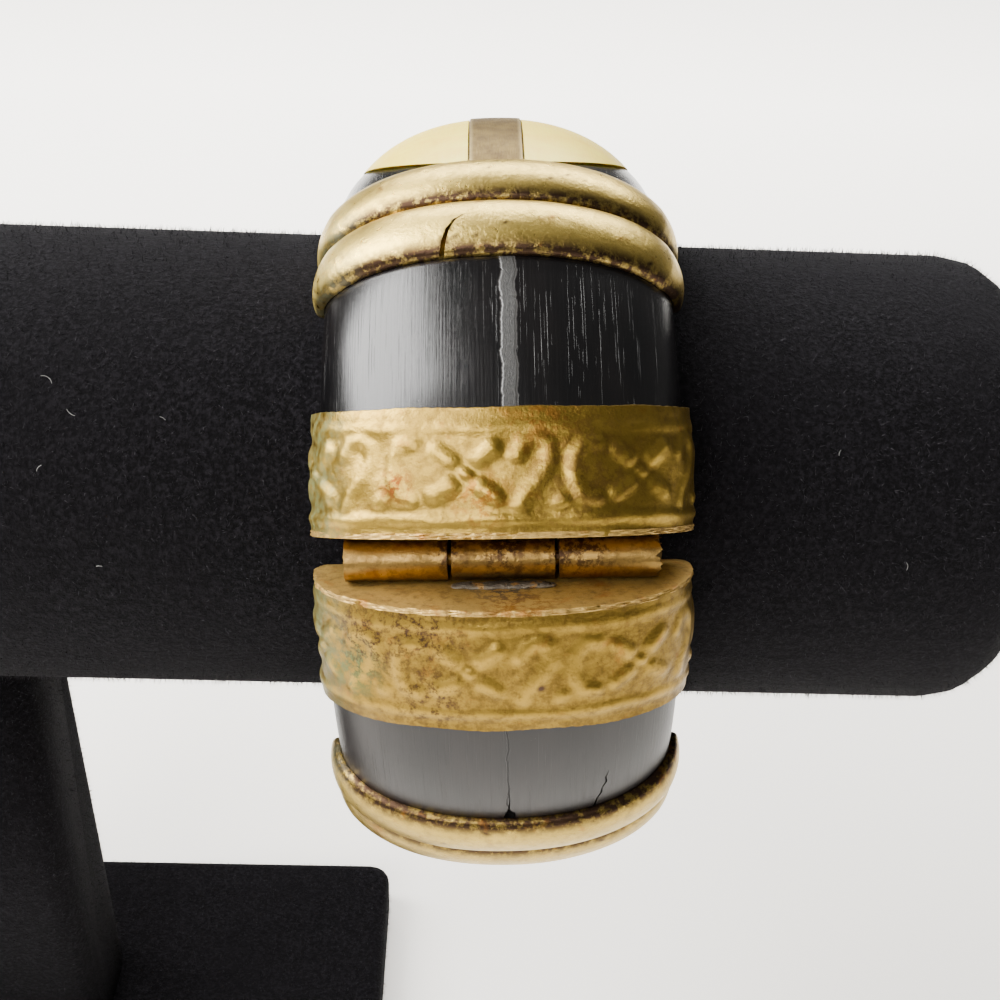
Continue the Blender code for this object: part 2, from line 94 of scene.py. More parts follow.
# %% [markdown]
# The horn's section is a D: a flat inside, small lips, and a full dome outside. All of the bangle follows
# it, so one function gives it, grown evenly, with the distance across from the crown that stamped patterns
# need.

# %% The D-shaped section
def dome(turn, grow=0.0):
    """(x, radius) on the dome, from the right edge at turn 0 to the left edge at turn pi."""
    power = 2 / FULLNESS
    x = (HALF_WIDTH + grow) * np.sign(np.cos(turn)) * np.abs(np.cos(turn)) ** power
    return x, WIDEST + (RISE + grow) * np.abs(np.sin(turn)) ** power


def even_turns(count):
    """Turns evenly spaced along the dome, and each one's distance from the crown."""
    fine = np.linspace(0, math.pi, 4001)
    x, radius = dome(fine)
    travelled = np.concatenate([[0], np.cumsum(np.hypot(np.diff(x), np.diff(radius)))])
    goals = np.linspace(0, travelled[-1], count + 1)
    return np.interp(goals, travelled, fine), 0.5 * travelled[-1] - goals


def section(grow=0.0, dome_count=48, lip_count=5, lift=None):
    """The closed D as arrays of x, radius and distance across; the last point repeats the first."""
    turn, across = even_turns(dome_count)
    x, radius = dome(turn, grow if lift is None else grow + lift(across))
    lip = LIP + grow
    bend = np.linspace(0, 0.5 * math.pi, lip_count + 1)[1:]
    lip_x = HALF_WIDTH + grow - lip + lip * np.cos(bend)
    lip_radius = WIDEST - lip * np.sin(bend)
    flat_x = np.linspace(-lip_x[-1], lip_x[-1], 8)[1:-1]
    flat_radius = np.full(len(flat_x), lip_radius[-1])
    edge = across[0] + lip * bend
    xs = np.concatenate([x, -lip_x, flat_x, lip_x[::-1], x[:1]])
    radii = np.concatenate([radius, lip_radius, flat_radius, lip_radius[::-1], radius[:1]])
    acrosses = np.concatenate([across, -edge, flat_x, edge[::-1], across[:1]])
    return xs, radii, acrosses


print("distance over the dome in mm:", round(2000 * even_turns(8)[1][0], 1))

# %% [markdown]
# Most pieces here are sheets that are bent round: a flat grid is added, and each of its crossings is moved
# to its place on the object. A grid keeps the rows of vertices tidy, and its own UV map holds real
# millimetres across and along, so scratches and stains can follow the surface wherever it turns.

# %% Tools for bent sheets
def deselect():
    if bpy.context.object and bpy.context.object.mode != "OBJECT":
        bpy.ops.object.mode_set(mode="OBJECT")
    bpy.ops.object.select_all(action="DESELECT")


def pick(piece):
    deselect()
    piece.select_set(True)
    bpy.context.view_layer.objects.active = piece


def smooth_by_angle(piece, degrees):
    pick(piece)
    bpy.ops.object.shade_smooth_by_angle(angle=math.radians(degrees))


def bent_sheet(name, places, across=None, along=None, smooth=40):
    """A grid moved to places, rows by columns, then welded, closed and turned to face outwards."""
    rows, columns = places.shape[0] - 1, places.shape[1] - 1
    deselect()
    bpy.ops.mesh.primitive_grid_add(x_subdivisions=columns, y_subdivisions=rows, size=1)
    piece = bpy.context.object
    piece.name = name
    mesh = piece.data
    flat = np.empty(len(mesh.vertices) * 3)
    mesh.vertices.foreach_get("co", flat)
    flat = flat.reshape(-1, 3)
    column = np.rint((flat[:, 0] + 0.5) * columns).astype(int)
    row = np.rint((flat[:, 1] + 0.5) * rows).astype(int)
    mesh.vertices.foreach_set("co", places[row, column].ravel())
    if across is not None:
        corners = np.empty(len(mesh.loops), int)
        mesh.loops.foreach_get("vertex_index", corners)
        across = np.broadcast_to(across, places.shape[:2])[row, column][corners]
        along = np.broadcast_to(along, places.shape[:2])[row, column][corners]
        pairs = np.stack([across, along], axis=-1) / MM
        mesh.uv_layers[0].data.foreach_set("uv", pairs.ravel())
    bpy.ops.object.mode_set(mode="EDIT")
    bpy.ops.mesh.select_all(action="SELECT")
    bpy.ops.mesh.remove_doubles(threshold=0.002 * MM)
    bpy.ops.mesh.select_all(action="DESELECT")
    bpy.ops.mesh.select_non_manifold()
    bpy.ops.mesh.edge_face_add()
    bpy.ops.mesh.select_all(action="SELECT")
    bpy.ops.mesh.normals_make_consistent(inside=False)
    bpy.ops.object.mode_set(mode="OBJECT")
    smooth_by_angle(piece, smooth)
    return piece


def apply_modifier(piece, kind, **settings):
    modifier = piece.modifiers.new(kind.lower(), kind)
    for key, value in settings.items():
        setattr(modifier, key, value)
    pick(piece)
    bpy.ops.object.modifier_apply(modifier=modifier.name)


def cut(piece, tool, operation="DIFFERENCE"):
    apply_modifier(piece, "BOOLEAN", operation=operation, solver="EXACT", object=tool)
    bpy.data.objects.remove(tool, do_unlink=True)


def ripple(a, b, seed):
    """A gentle unevenness between -1 and 1, from a few crossed waves; a and b are in millimetres."""
    chance = random.Random(seed)
    total = 0.0
    for k in range(6):
        turn = chance.uniform(0, math.tau)
        pitch = chance.uniform(0.5, 1.6) * (1.25 ** k)
        along = (a * math.cos(turn) + b * math.sin(turn)) * pitch
        total = total + np.sin(along + chance.uniform(0, math.tau)) / 6
    return total


# %% [markdown]
# Materials are built from a few repeated moves: stretch the coordinates, draw a noise, sharpen it into a
# mask, and blend two colours by the mask. Small helpers for these keep each finish readable. A socket knows
# its own tree, as id_data, so most helpers take only sockets and numbers. The helpers print what they made.

# %% Tools for materials
def add(tree, kind, inputs=None, **settings):
    node = tree.nodes.new(kind)
    for key, value in settings.items():
        setattr(node, key, value)
    for key, value in (inputs or {}).items():
        if isinstance(value, bpy.types.NodeSocket):
            tree.links.new(value, node.inputs[key])
        else:
            node.inputs[key].default_value = value
    return node


def surface_map(tree, scale=(1, 1, 1), shift=(0, 0, 0)):
    """Millimetres across and along the piece, stretched."""
    uv = add(tree, "ShaderNodeUVMap").outputs["UV"]
    return add(tree, "ShaderNodeMapping", {"Vector": uv, "Scale": scale, "Location": shift}).outputs["Vector"]


def object_map(tree, scale=(1, 1, 1), shift=(0, 0, 0)):
    """Millimetres in the object's own space, stretched."""
    place = add(tree, "ShaderNodeTexCoord").outputs["Object"]
    inputs = {"Vector": place, "Scale": tuple(1000 * s for s in scale), "Location": shift}
    return add(tree, "ShaderNodeMapping", inputs).outputs["Vector"]


def noise(vector, scale, detail=4, roughness=0.55):
    inputs = {"Vector": vector, "Scale": scale, "Detail": detail, "Roughness": roughness}
    return add(vector.id_data, "ShaderNodeTexNoise", inputs).outputs["Fac"]


def mask(value, low, high):
    """0 below low, 1 above high; low may be the larger, which turns it round."""
    inputs = {"Value": value, "From Min": low, "From Max": high}
    return add(value.id_data, "ShaderNodeMapRange", inputs, clamp=True).outputs["Result"]


def sums(operation, *values):
    tree = next(value.id_data for value in values if isinstance(value, bpy.types.NodeSocket))
    return add(tree, "ShaderNodeMath", dict(enumerate(values)), operation=operation).outputs[0]


def times(a, b):
    return sums("MULTIPLY", a, b)


def plus(a, b):
    return sums("ADD", a, b)


def scaled(colour, share):
    """A lighter or darker tone of the same colour."""
    return tuple(share * c for c in colour)


def blend(factor, first, second):
    first = (*first, 1.0) if isinstance(first, tuple) else first
    second = (*second, 1.0) if isinstance(second, tuple) else second
    return add(factor.id_data, "ShaderNodeMix", {0: factor, 6: first, 7: second}, data_type="RGBA").outputs[2]


def part_of(vector, axis):
    return add(vector.id_data, "ShaderNodeSeparateXYZ", {"Vector": vector}).outputs[axis]


def bump(height, distance, strength):
    inputs = {"Height": height, "Distance": distance, "Strength": strength}
    return add(height.id_data, "ShaderNodeBump", inputs).outputs["Normal"]


def finish(name, **fixed):
    """A new material and its shader; fixed holds what is the same all over."""
    made = bpy.data.materials.new(name)
    made.use_nodes = True
    shader = made.node_tree.nodes["Principled BSDF"]
    for key, value in fixed.items():
        shader.inputs[key.replace("_", " ")].default_value = value
    print("finish:", name)
    return made, made.node_tree, shader


def join(shader, **sockets):
    for key, socket in sockets.items():
        shader.id_data.links.new(socket, shader.inputs[key.replace("_", " ")])


def dress(piece, material, body=None, replaced=()):
    """Gives a piece its finish and the body that it rides on, and hides the CAD nodes that it stands for."""
    piece.data.materials.clear()
    piece.data.materials.append(material)
    if body:
        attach(piece, body)
    if replaced:
        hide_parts(*replaced)
    print(piece.name, "faces:", len(piece.data.polygons))


# %% [markdown]
# ## Horn
# The upper horn is polished nearly black and the lower one is satin. Fibres and scratches run round the
# ring, so the noise is stretched along the way round. Down the middle runs a seam, which on the upper horn
# is packed with rough grey filler between two pale hair lines.

# %% Horn finishes
SCRATCH_TONE = (0.055, 0.052, 0.05)
HAIR_TONE = (0.16, 0.155, 0.15)
DUST_TONE = (0.30, 0.29, 0.27)


def seam_masks(tree, seam_at, seam_width):
    """Masks of the seam, which wanders, and of the hair lines beside it."""
    wobble = noise(surface_map(tree, (0.0, 0.5, 1), (0, 3, 0)), 1.0, 4, 0.6)
    sway = times(sums("SUBTRACT", wobble, 0.5), 1.1)
    across = part_of(surface_map(tree), "X")
    from_seam = sums("ABSOLUTE", plus(sums("SUBTRACT", across, seam_at), sway))
    seam = mask(from_seam, seam_width, 0.8 * seam_width)
    beside = mask(from_seam, 1.25 * seam_width, 0.98 * seam_width)
    return seam, times(beside, sums("SUBTRACT", 1.0, seam))


def horn_finish(name, deep, worn, polish, seam_at, seam_width, seam_tone, shine=0.5):
    made, tree, shader = finish(name, IOR=1.54, Specular_IOR_Level=shine)
    hairs = noise(surface_map(tree, (3.2, 0.05, 1)), 2.0, 5, 0.65)
    fine = noise(surface_map(tree, (6.0, 0.035, 1), (4, 2, 0)), 2.0, 3, 0.6)
    broad = noise(surface_map(tree, (0.16, 0.05, 1), (1, 5, 0)), 1.4, 3)
    colour = blend(mask(broad, 0.35, 0.7), deep, worn)
    colour = blend(mask(hairs, 0.66, 0.78), colour, scaled(worn, 4.0))
    scratches = mask(fine, 0.64, 0.72)
    colour = blend(times(scratches, 0.3), colour, SCRATCH_TONE)
    seam, hair_line = seam_masks(tree, seam_at, seam_width)
    grain = noise(surface_map(tree, (1.6, 0.9, 1)), 3.0, 6, 0.75)
    filler = blend(mask(grain, 0.38, 0.66), scaled(seam_tone, 0.15), scaled(seam_tone, 1.5))
    colour = blend(seam, colour, filler)
    colour = blend(times(hair_line, 0.4), colour, HAIR_TONE)
    dust = noise(surface_map(tree, (1, 1, 1), (7, 7, 0)), 6.0, 2, 0.6)
    colour = blend(mask(dust, 0.765, 0.80), colour, DUST_TONE)
    rough = sums("MULTIPLY_ADD", hairs, 0.24, polish - 0.12)
    rough = sums("MAXIMUM", rough, times(seam, 0.62))
    height = plus(times(scratches, -0.8), times(hairs, -0.5))
    height = plus(height, times(times(grain, seam), 3.0))
    join(shader, Base_Color=colour, Roughness=rough, Normal=bump(height, 0.04 * MM, 0.8))
    return made


polished_horn = horn_finish(
    "polished_horn", deep=(0.0010, 0.0009, 0.0011), worn=(0.0035, 0.0028, 0.0028), polish=0.22,
    seam_at=0.75, seam_width=0.62, seam_tone=(0.022, 0.021, 0.019),
)
satin_horn = horn_finish(
    "satin_horn", deep=(0.004, 0.0032, 0.0032), worn=(0.010, 0.0075, 0.0072), polish=0.34,
    seam_at=0.15, seam_width=0.10, seam_tone=(0.008, 0.007, 0.007), shine=0.32,
)

# %% [markdown]
# Each half of the horn is one bent bar with the D section, drawn finer than in the CAD so that its edge
# stays round in a close view. Its ends stay hidden in the brass. A saw cut across the upper half leaves the
# flat for the bone.

# %% Horn halves
FLAT_HEIGHT = 34.7 * MM
HIDDEN_END = 1.1 * MM


def horn_half(name, half):
    xs, radii, across = section()
    start = end_angle(radii, HIDDEN_END)
    share = np.linspace(0, 1, 97)[:, None]
    angle = start + (math.pi - 2 * start) * share
    return bent_sheet(name, ring_points(xs, radii, angle, half), across, angle * CROWN)


def saw_block(name, low):
    """A block over the crown, in the bangle's own space, from this height up."""
    deselect()
    bpy.ops.mesh.primitive_cube_add(size=1)
    block = bpy.context.object
    block.name = name
    size = Vector((40, 48, 10)) * MM
    lifted = Matrix.Translation((0, 0, low + 0.5 * size.z))
    block.data.transform(HANG @ lifted @ Matrix.Diagonal((*size, 1)))
    return block


upper_half = horn_half("upper_horn_polished", 1)
cut(upper_half, saw_block("crown_saw", FLAT_HEIGHT))
smooth_by_angle(upper_half, 35)
dress(upper_half, polished_horn, STAND_BODY, ["upper_horn"])
lower_half = horn_half("lower_horn_satin", -1)
dress(lower_half, satin_horn, LOWER_BODY, ["lower_horn"])

# %% [markdown]
# The lower horn has split: a long crack wanders down near its right side, and its middle seam ends in a
# chip at the rib. Both are real gaps, so thin crooked blades cut them out of the mesh.

# %% Cracks in the lower horn
def crooked_blade(name, line, half, inner, outer):
    """A thin crooked prism; line lists mm across, degrees from the hinge and half the gap in mm."""
    left = [(a + w, d) for a, d, w in line]
    right = [(a - w, d) for a, d, w in reversed(line)]
    outline = left + right + left[:1]
    xs = np.array([a for a, d in outline]) * MM
    angle = np.radians([d for a, d in outline])
    radii = np.array([[inner], [outer]])
    return bent_sheet(name, ring_points(xs[None, :], radii, angle[None, :], half), smooth=20)


CRACK = [
    (9.4, 33.0, 0.02), (9.15, 34.4, 0.06), (9.25, 35.6, 0.09), (8.9, 36.8, 0.06),
    (8.85, 38.2, 0.10), (8.5, 39.5, 0.07), (8.35, 41.0, 0.09), (8.0, 43.5, 0.08),
]
CHIP = [
    (0.2, 33.5, 0.02), (0.3, 37.0, 0.05), (0.2, 39.3, 0.10),
    (0.35, 40.2, 0.45), (0.3, 41.2, 0.55), (0.2, 43.0, 0.5),
]
cut(lower_half, crooked_blade("crack_blade", CRACK, -1, 36.2 * MM, 41 * MM))
cut(lower_half, crooked_blade("chip_blade", CHIP, -1, 38.2 * MM, 41 * MM))
smooth_by_angle(lower_half, 35)
print("faces in the lower horn:", len(lower_half.data.polygons))

# %% [markdown]
# ## Brass
# The bands are thin stamped sheet. Their raised parts are rubbed bright and their hollows hold brown dirt,
# so the height of the stamp is stored on the mesh and the finish reads it. Clouds, blotches and green bloom
# come from noise. Some stains and darker marks have a place of their own, and one broad patch of painted
# shade too. Each of those is a ball round a point, and noise breaks it up.

# %% Stained brass
# the number on the mesh: the stamp's height on a band, painted light on a rib, high on its crest and low on
# its lower side
HEIGHT_AND_RIB_LIGHT_ATTRIBUTE = "stamp"
BLOOM_TONE = (0.14, 0.17, 0.07)
BLOOM_FADES = (57.0, 53.3)


def wear_and_painted_light_by_height(tree, colour, bright, dark, mottle, dirt_and_shade_amount):
    """Darker on what lies low and brighter on what stands high, by the number that the mesh holds: soiling
    and a rub on a band, painted shade and a painted highlight on a rib.
    """
    height_and_rib_light = add(tree, "ShaderNodeAttribute", attribute_name=HEIGHT_AND_RIB_LIGHT_ATTRIBUTE).outputs["Fac"]
    # darkening of what lies low: dirt in a band's hollows, painted shade on a rib's lower side
    dirt_and_shade_mask = times(mask(height_and_rib_light, 0.45, 0.0), mask(mottle, 0.22, 0.52))
    colour = blend(times(dirt_and_shade_mask, dirt_and_shade_amount), colour, dark)
    # brighter on what stands high: the rub on a band's raised stamp, a painted highlight along a rib's crest
    return blend(times(mask(height_and_rib_light, 0.55, 1.0), 0.35), colour, scaled(bright, 1.35))


def stain_and_shade_mask(place, spot, radius, breaks):
    """A ball round a spot, broken up by these masks."""
    away = add(place.id_data, "ShaderNodeVectorMath", {0: place, 1: spot}, operation="DISTANCE")
    here = mask(away.outputs["Value"], radius, 0.3 * radius)
    for broken in breaks:
        here = times(here, broken)
    return here


def brass_finish(
    name, bright, dark, stain, base_rough, stain_from=0.60,
    green=0.0, dirt_and_shade_amount=0.0, blotch=0.55, marks=(), metal_share=1.0,
):
    """Old brass; the low darkening is for pieces that hold a number on the mesh (brown soiling on a band,
    painted shade on a rib), green for those with bloom at their left side.
    """
    made, tree, shader = finish(name, Metallic=metal_share)
    place = object_map(tree)
    cloud = noise(place, 0.20, 5, 0.6)
    mottle = noise(object_map(tree, shift=(3, 1, 7)), 1.1, 6, 0.7)
    speck = noise(object_map(tree, shift=(9, 4, 2)), 4.0, 4, 0.7)
    patch = noise(object_map(tree, shift=(2, 8, 5)), 0.42, 5, 0.65)
    colour = blend(mask(cloud, 0.32, 0.68), bright, scaled(bright, 0.72))
    colour = blend(times(mask(mottle, 0.48, 0.66), blotch), colour, dark)
    if dirt_and_shade_amount:
        colour = wear_and_painted_light_by_height(tree, colour, bright, dark, mottle, dirt_and_shade_amount)
    stained = times(mask(patch, stain_from, stain_from + 0.12), 0.7)
    colour = blend(stained, colour, stain)
    if green:
        side = mask(part_of(place, "X"), *BLOOM_FADES)
        bloom = times(side, mask(mottle, 0.36, 0.60))
        colour = blend(times(bloom, green), colour, BLOOM_TONE)
        join(shader, Metallic=sums("SUBTRACT", 1.0, times(bloom, 0.6)))
    colour = blend(mask(speck, 0.66, 0.74), colour, scaled(dark, 0.3))
    breaks = (mask(mottle, 0.46, 0.56), mask(speck, 0.40, 0.55))
    for spot, radius, tone, broken in marks:
        colour = blend(stain_and_shade_mask(place, spot, radius, breaks[:broken]), colour, tone)
    rough = sums("MULTIPLY_ADD", mottle, 0.34, base_rough - 0.17)
    height = plus(times(mottle, 0.7), times(speck, -0.5))
    height = plus(height, times(patch, 1.6))
    join(shader, Base_Color=colour, Roughness=rough, Normal=bump(height, 0.10 * MM, 0.6))
    return made


# %% [markdown]
# A mark's row holds its middle in millimetres, its radius, its tone, and how many noises break it up: none
# for a round spot, two for a scatter of crumbs. The lower band and ribs are darker copies of the upper
# ones, which is painted shade on the lower half, and the lower band holds a little more dirt.

# %% Brass finishes
BROWN = (0.055, 0.030, 0.018)
RED = (0.20, 0.062, 0.012)
ORANGE = (0.27, 0.12, 0.018)
GREEN = (0.12, 0.14, 0.05)
# painted shade tone, for the darker right side of the upper band
RIGHT_SIDE_SHADE = (0.22, 0.13, 0.03)
GREY = (0.09, 0.075, 0.055)
BAND_MARKS = [
    ((60.5, -31.6, 122.4), 1.9, RED, 1),
    ((72.7, -29.5, 127.3), 4.0, ORANGE, 1),
    ((67.5, -33.2, 122.5), 3.0, ORANGE, 1),
    # painted shade: a broad dark patch over the right side of the upper band
    ((76.0, -31.6, 124.4), 7.0, RIGHT_SIDE_SHADE, 1),
    ((57.3, -35.2, 106.5), 4.0, GREEN, 1),
    ((58.0, -35.6, 109.6), 5.0, BROWN, 2),
    ((63.0, -37.2, 111.6), 5.0, BROWN, 2),
    ((63.8, -38.9, 105.3), 4.0, BROWN, 2),
    ((73.2, -39.2, 107.3), 0.55, BROWN, 0),
]
PLATE_MARKS = [
    ((71.0, -36.2, 114.2), 4.0, ORANGE, 1),
    ((70.0, -32.5, 113.5), 4.0, GREY, 1),
]
# darker brown spots on the knuckles, two of them over the gaps between knuckles
KNUCKLE_MARKS = [
    ((65.1, -30.9, 115.2), 2.2, BROWN, 1),
    ((74.4, -30.9, 115.7), 2.4, BROWN, 1),
    ((70.0, -30.5, 115.8), 3.2, BROWN, 1),
    ((77.0, -30.5, 116.0), 3.0, BROWN, 1),
]
# the ribs darken what lies low strongly: painted shade on their lower sides, with dirt
RIB_LOOK = {
    "dark": (0.045, 0.026, 0.016), "stain": (0.24, 0.10, 0.015),
    "base_rough": 0.32, "green": 0.35, "dirt_and_shade_amount": 1.0, "blotch": 0.3,
}
band_brass = brass_finish(
    "band_brass", bright=(0.44, 0.285, 0.048), dark=(0.10, 0.055, 0.014), stain=(0.28, 0.12, 0.02),
    base_rough=0.35, green=0.8, dirt_and_shade_amount=0.3, blotch=0.5, marks=BAND_MARKS,
)
# painted shade: the upper band's brass made darker for the lower half, with a little more dirt
shaded_lower_band_brass = brass_finish(
    "shaded_lower_band_brass", bright=(0.34, 0.215, 0.036), dark=(0.075, 0.042, 0.012), stain=(0.22, 0.095, 0.016),
    base_rough=0.38, green=0.8, dirt_and_shade_amount=0.5, blotch=0.6, marks=BAND_MARKS,
)
rib_brass = brass_finish("rib_brass", (0.70, 0.50, 0.12), **RIB_LOOK)
# painted shade: a darker copy of the upper ribs' brass for the lower half
lower_rib_brass = brass_finish("lower_rib_brass", (0.50, 0.345, 0.07), **RIB_LOOK)
plate_brass = brass_finish(
    "plate_brass", bright=(0.50, 0.32, 0.085), dark=(0.15, 0.085, 0.03), stain=(0.34, 0.13, 0.02),
    base_rough=0.48, stain_from=0.56, blotch=0.7, marks=PLATE_MARKS, metal_share=0.75,
)
knuckle_brass = brass_finish(
    "knuckle_brass", bright=(0.32, 0.195, 0.055), dark=(0.045, 0.025, 0.013), stain=(0.17, 0.08, 0.02),
    base_rough=0.34, stain_from=0.56, blotch=0.6, marks=KNUCKLE_MARKS,
)

# %% [markdown]
# The stamp is a traditional scroll: a four-leaf cross, then two curls, over and over between two border
# lines. It is drawn as short strokes, each with a width of its own, and each point of the band rises by how
# near it lies to a stroke. Real geometry is used, not bump, because the low side light catches it and the
# band's outline shows it. Ripples bend the strokes and weaken some of them, as on a worn stamp.

# %% The stamp
RELIEF = 0.29 * MM
MOTIF_PITCH = 14.5
MOTIF_SIZE = 2.9
MOTIF_SHIFT = 2.9
REACH_BACK = 0.4 * MOTIF_PITCH
BORDER_INSET = 1.6
BORDER_HALF_WIDTH = 0.75
# each row holds a half width in mm and the points of its stroke in shares of MOTIF_SIZE
MOTIF = (
    (1.05, ((-0.85, -0.62), (-0.42, -0.34))),
    (1.0, ((-0.80, 0.66), (-0.40, 0.36))),
    (1.05, ((0.38, -0.36), (0.78, -0.60))),
    (1.1, ((0.34, 0.40), (0.74, 0.72))),
    (0.7, ((-0.05, 0.02), (0.05, -0.02))),
    (0.95, (
        (1.42, 0.55), (1.6, 0.88), (1.95, 1.0), (2.25, 0.78),
        (2.28, 0.35), (2.0, -0.1), (1.62, -0.55), (1.5, -0.9),
    )),
    (0.9, ((2.5, -0.85), (2.58, -0.8))),
    (0.95, ((3.62, 0.85), (3.25, 0.88), (2.98, 0.45), (2.95, -0.15), (3.15, -0.68), (3.55, -0.76))),
)


def stroke_rise(distance, half_width):
    share = np.minimum(1.0, distance / half_width)
    return (1 - share * share) ** 2


def stamp(across, up, length):
    """Height of the stamp from 0 to 1; all in millimetres, up from the band's lower edge."""
    height = np.zeros(np.broadcast(across, up).shape)
    across = across + 0.22 * ripple(0.4 * across, 0.4 * up, 31)
    up = up + 0.2 * ripple(0.35 * across, 0.35 * up, 37)
    for line, strong in ((BORDER_INSET, 0.75), (length - BORDER_INSET, 0.5)):
        height = np.maximum(height, strong * stroke_rise(np.abs(up - line), BORDER_HALF_WIDTH))
    place = (across + MOTIF_SHIFT + REACH_BACK) % MOTIF_PITCH - REACH_BACK
    for shift in (0, MOTIF_PITCH):
        px, py = (place + shift) / MOTIF_SIZE, (up - 0.5 * length) / MOTIF_SIZE
        for half_width, stroke in MOTIF:
            for (ax, ay), (bx, by) in zip(stroke, stroke[1:]):
                dx, dy = bx - ax, by - ay
                t = np.clip(((px - ax) * dx + (py - ay) * dy) / (dx * dx + dy * dy), 0, 1)
                near = np.hypot(px - ax - t * dx, py - ay - t * dy) * MOTIF_SIZE
                height = np.maximum(height, stroke_rise(near, half_width))
    return height * (0.80 + 0.35 * ripple(0.30 * across, 0.30 * up, 43))


def remember(piece, values, places):
    """Stores one number a vertex, found again by its place after doubles were merged."""
    known = zip(places.reshape(-1, 3), np.ravel(values))
    lookup = {tuple(np.rint(p * 1e6).astype(int)): v for p, v in known}
    store = piece.data.attributes.new(HEIGHT_AND_RIB_LIGHT_ATTRIBUTE, "FLOAT", "POINT")
    for vertex, item in zip(piece.data.vertices, store.data):
        item.value = lookup.get(tuple(np.rint(np.array(vertex.co) * 1e6).astype(int)), 0.0)


print("strokes in one motif:", len(MOTIF))

# %% [markdown]
# A band is one sleeve of sheet: out along the outside, over its rim and back along the inside. The rims
# were trimmed by hand and never run quite straight, and the sheet is a little dented.

# %% Bands
SHEET_OUTSIDE = 0.75 * MM
SHEET_INSIDE = 0.22 * MM
SHEET_MIDDLE = 0.5 * MM
DENT_HEIGHT = 0.22 * MM
OUTSIDE_ROWS = 44
RAGGED_FOR = 1.5
# each row holds a name, a length in mm, the half, the end, the node that it stands for and its body
BANDS = [
    ("upper_hinge_band", 10.8, 1, 1, "upper_hinge_cap", STAND_BODY),
    ("lower_hinge_band", 11.6, -1, 1, "lower_hinge_cap", LOWER_BODY),
    ("upper_clasp_band", 10.8, 1, -1, "upper_clasp_cap", STAND_BODY),
    ("lower_clasp_band", 11.6, -1, -1, "lower_clasp_cap", LOWER_BODY),
]


def band_relief(across, depth, up, length, seed):
    """How far stamp and dents push the sheet out; the distances are in millimetres."""
    fade = np.clip(min(depth, length - depth) / 0.5, 0, 1)
    dents = DENT_HEIGHT * ripple(0.42 * across, 0.42 * depth, seed)
    return fade * (RELIEF * stamp(across, up, length) + dents)


def band(name, length, half, end, seed):
    outside = np.linspace(0.05, length - 0.05, OUTSIDE_ROWS)
    depths = np.concatenate([outside, [length, length - 0.1, 0.7 * length, 0.3 * length, 0.3]])
    places, across_rows, stamps = [], [], []
    for row, depth in enumerate(depths):
        is_outside = row < OUTSIDE_ROWS
        up = depth if half > 0 else length - depth

        def lift(across):
            return band_relief(across / MM, depth, up, length, seed) if is_outside else 0 * across

        grow = SHEET_OUTSIDE if is_outside else SHEET_MIDDLE if depth == length else SHEET_INSIDE
        xs, radii, across = section(grow, 176, 6, lift)
        ragged = 0.26 * ripple(0.35 * across / MM, 0, seed + 5)
        ragged = ragged + 0.06 * ripple(4 * across / MM, 0, seed + 9)
        near_rim = np.clip((depth - length + RAGGED_FOR) / RAGGED_FOR, 0, 1)
        deep = (depth + ragged * near_rim) * MM
        places.append(ring_points(xs, radii, end_angle(radii, deep), half, end))
        across_rows.append(across)
        stamps.append(stamp(across / MM, up, length) if is_outside else 0 * across)
    for rows in (places, across_rows, stamps):
        rows.append(rows[0])
    places = np.array(places)
    along = np.append(depths, depths[0])[:, None] * MM
    piece = bent_sheet(name, places, np.array(across_rows), along, smooth=50)
    remember(piece, np.array(stamps), places)
    return piece


for seed, (name, length, half, end, node, body) in enumerate(BANDS):
    piece = band(name, length, half, end, 11 * seed + 3)
    dress(piece, band_brass if half > 0 else shaded_lower_band_brass, body, [node])

# %% [markdown]
# Each band is closed by an end plate, soldered on and filed flush, so its edge is ragged and shows as a
# thin bright layered line. The plate is a flat D, drawn as rings that run from its middle out to the rim
# and back underneath.

# %% End plates
PLATE_MIDDLE = 34.0 * MM
# each ring holds its share of the way out and its depth in mm
RINGS = [(0.0, 0.6), (0.9, 0.6)]
RINGS += [(1.0, deep) for deep in (0.52, 0.44, 0.36, 0.28, 0.2, 0.1, 0.03)]
RINGS += [(share, 0.0) for share in (0.985, 0.93, 0.86, 0.78, 0.7, 0.6, 0.5, 0.4, 0.3, 0.2, 0.1, 0.0)]


def end_plate(name, half, end, seed):
    xs, radii, across = section(0.83 * MM, 200, 8)
    frayed = 0.14 * ripple(0.9 * across / MM, 0, seed) + 0.08 * ripple(3.5 * across / MM, 0, seed + 2)
    places = []
    for share, deep in RINGS:
        layer = frayed + 0.16 * ripple(2.2 * across / MM, 60 * deep, seed + 4)
        outline = ring_points(xs, radii, end_angle(radii, deep * MM), half, end)
        middle_angle = end_angle(PLATE_MIDDLE, deep * MM)
        middle = ring_points(np.array(0.0), np.array(PLATE_MIDDLE), middle_angle, half, end)
        width = np.linalg.norm(outline - middle, axis=-1, keepdims=True)
        at_rim = 1 if share > 0.95 else 0
        reach = share * (1 + layer[:, None] * MM / width * at_rim)
        places.append(middle + (outline - middle) * reach)
    along = np.array([share for share, deep in RINGS])[:, None] * 10 * MM
    return bent_sheet(name, np.array(places), across, along, smooth=35)


for seed, (name, length, half, end, node, body) in enumerate(BANDS):
    plate = end_plate(name.replace("band", "plate"), half, end, 7 * seed + 1)
    dress(plate, plate_brass, body)

# %% [markdown]
# ## Hinge
# Each knuckle is a strip of sheet rolled round the pin, with a leaf soldered to an end plate. A rolled
# strip has a visible thickness at its ends, which a plain tube would lose, so it is drawn as a spiral that
# starts flat. Its ends are uneven, and the right one is torn and curls.

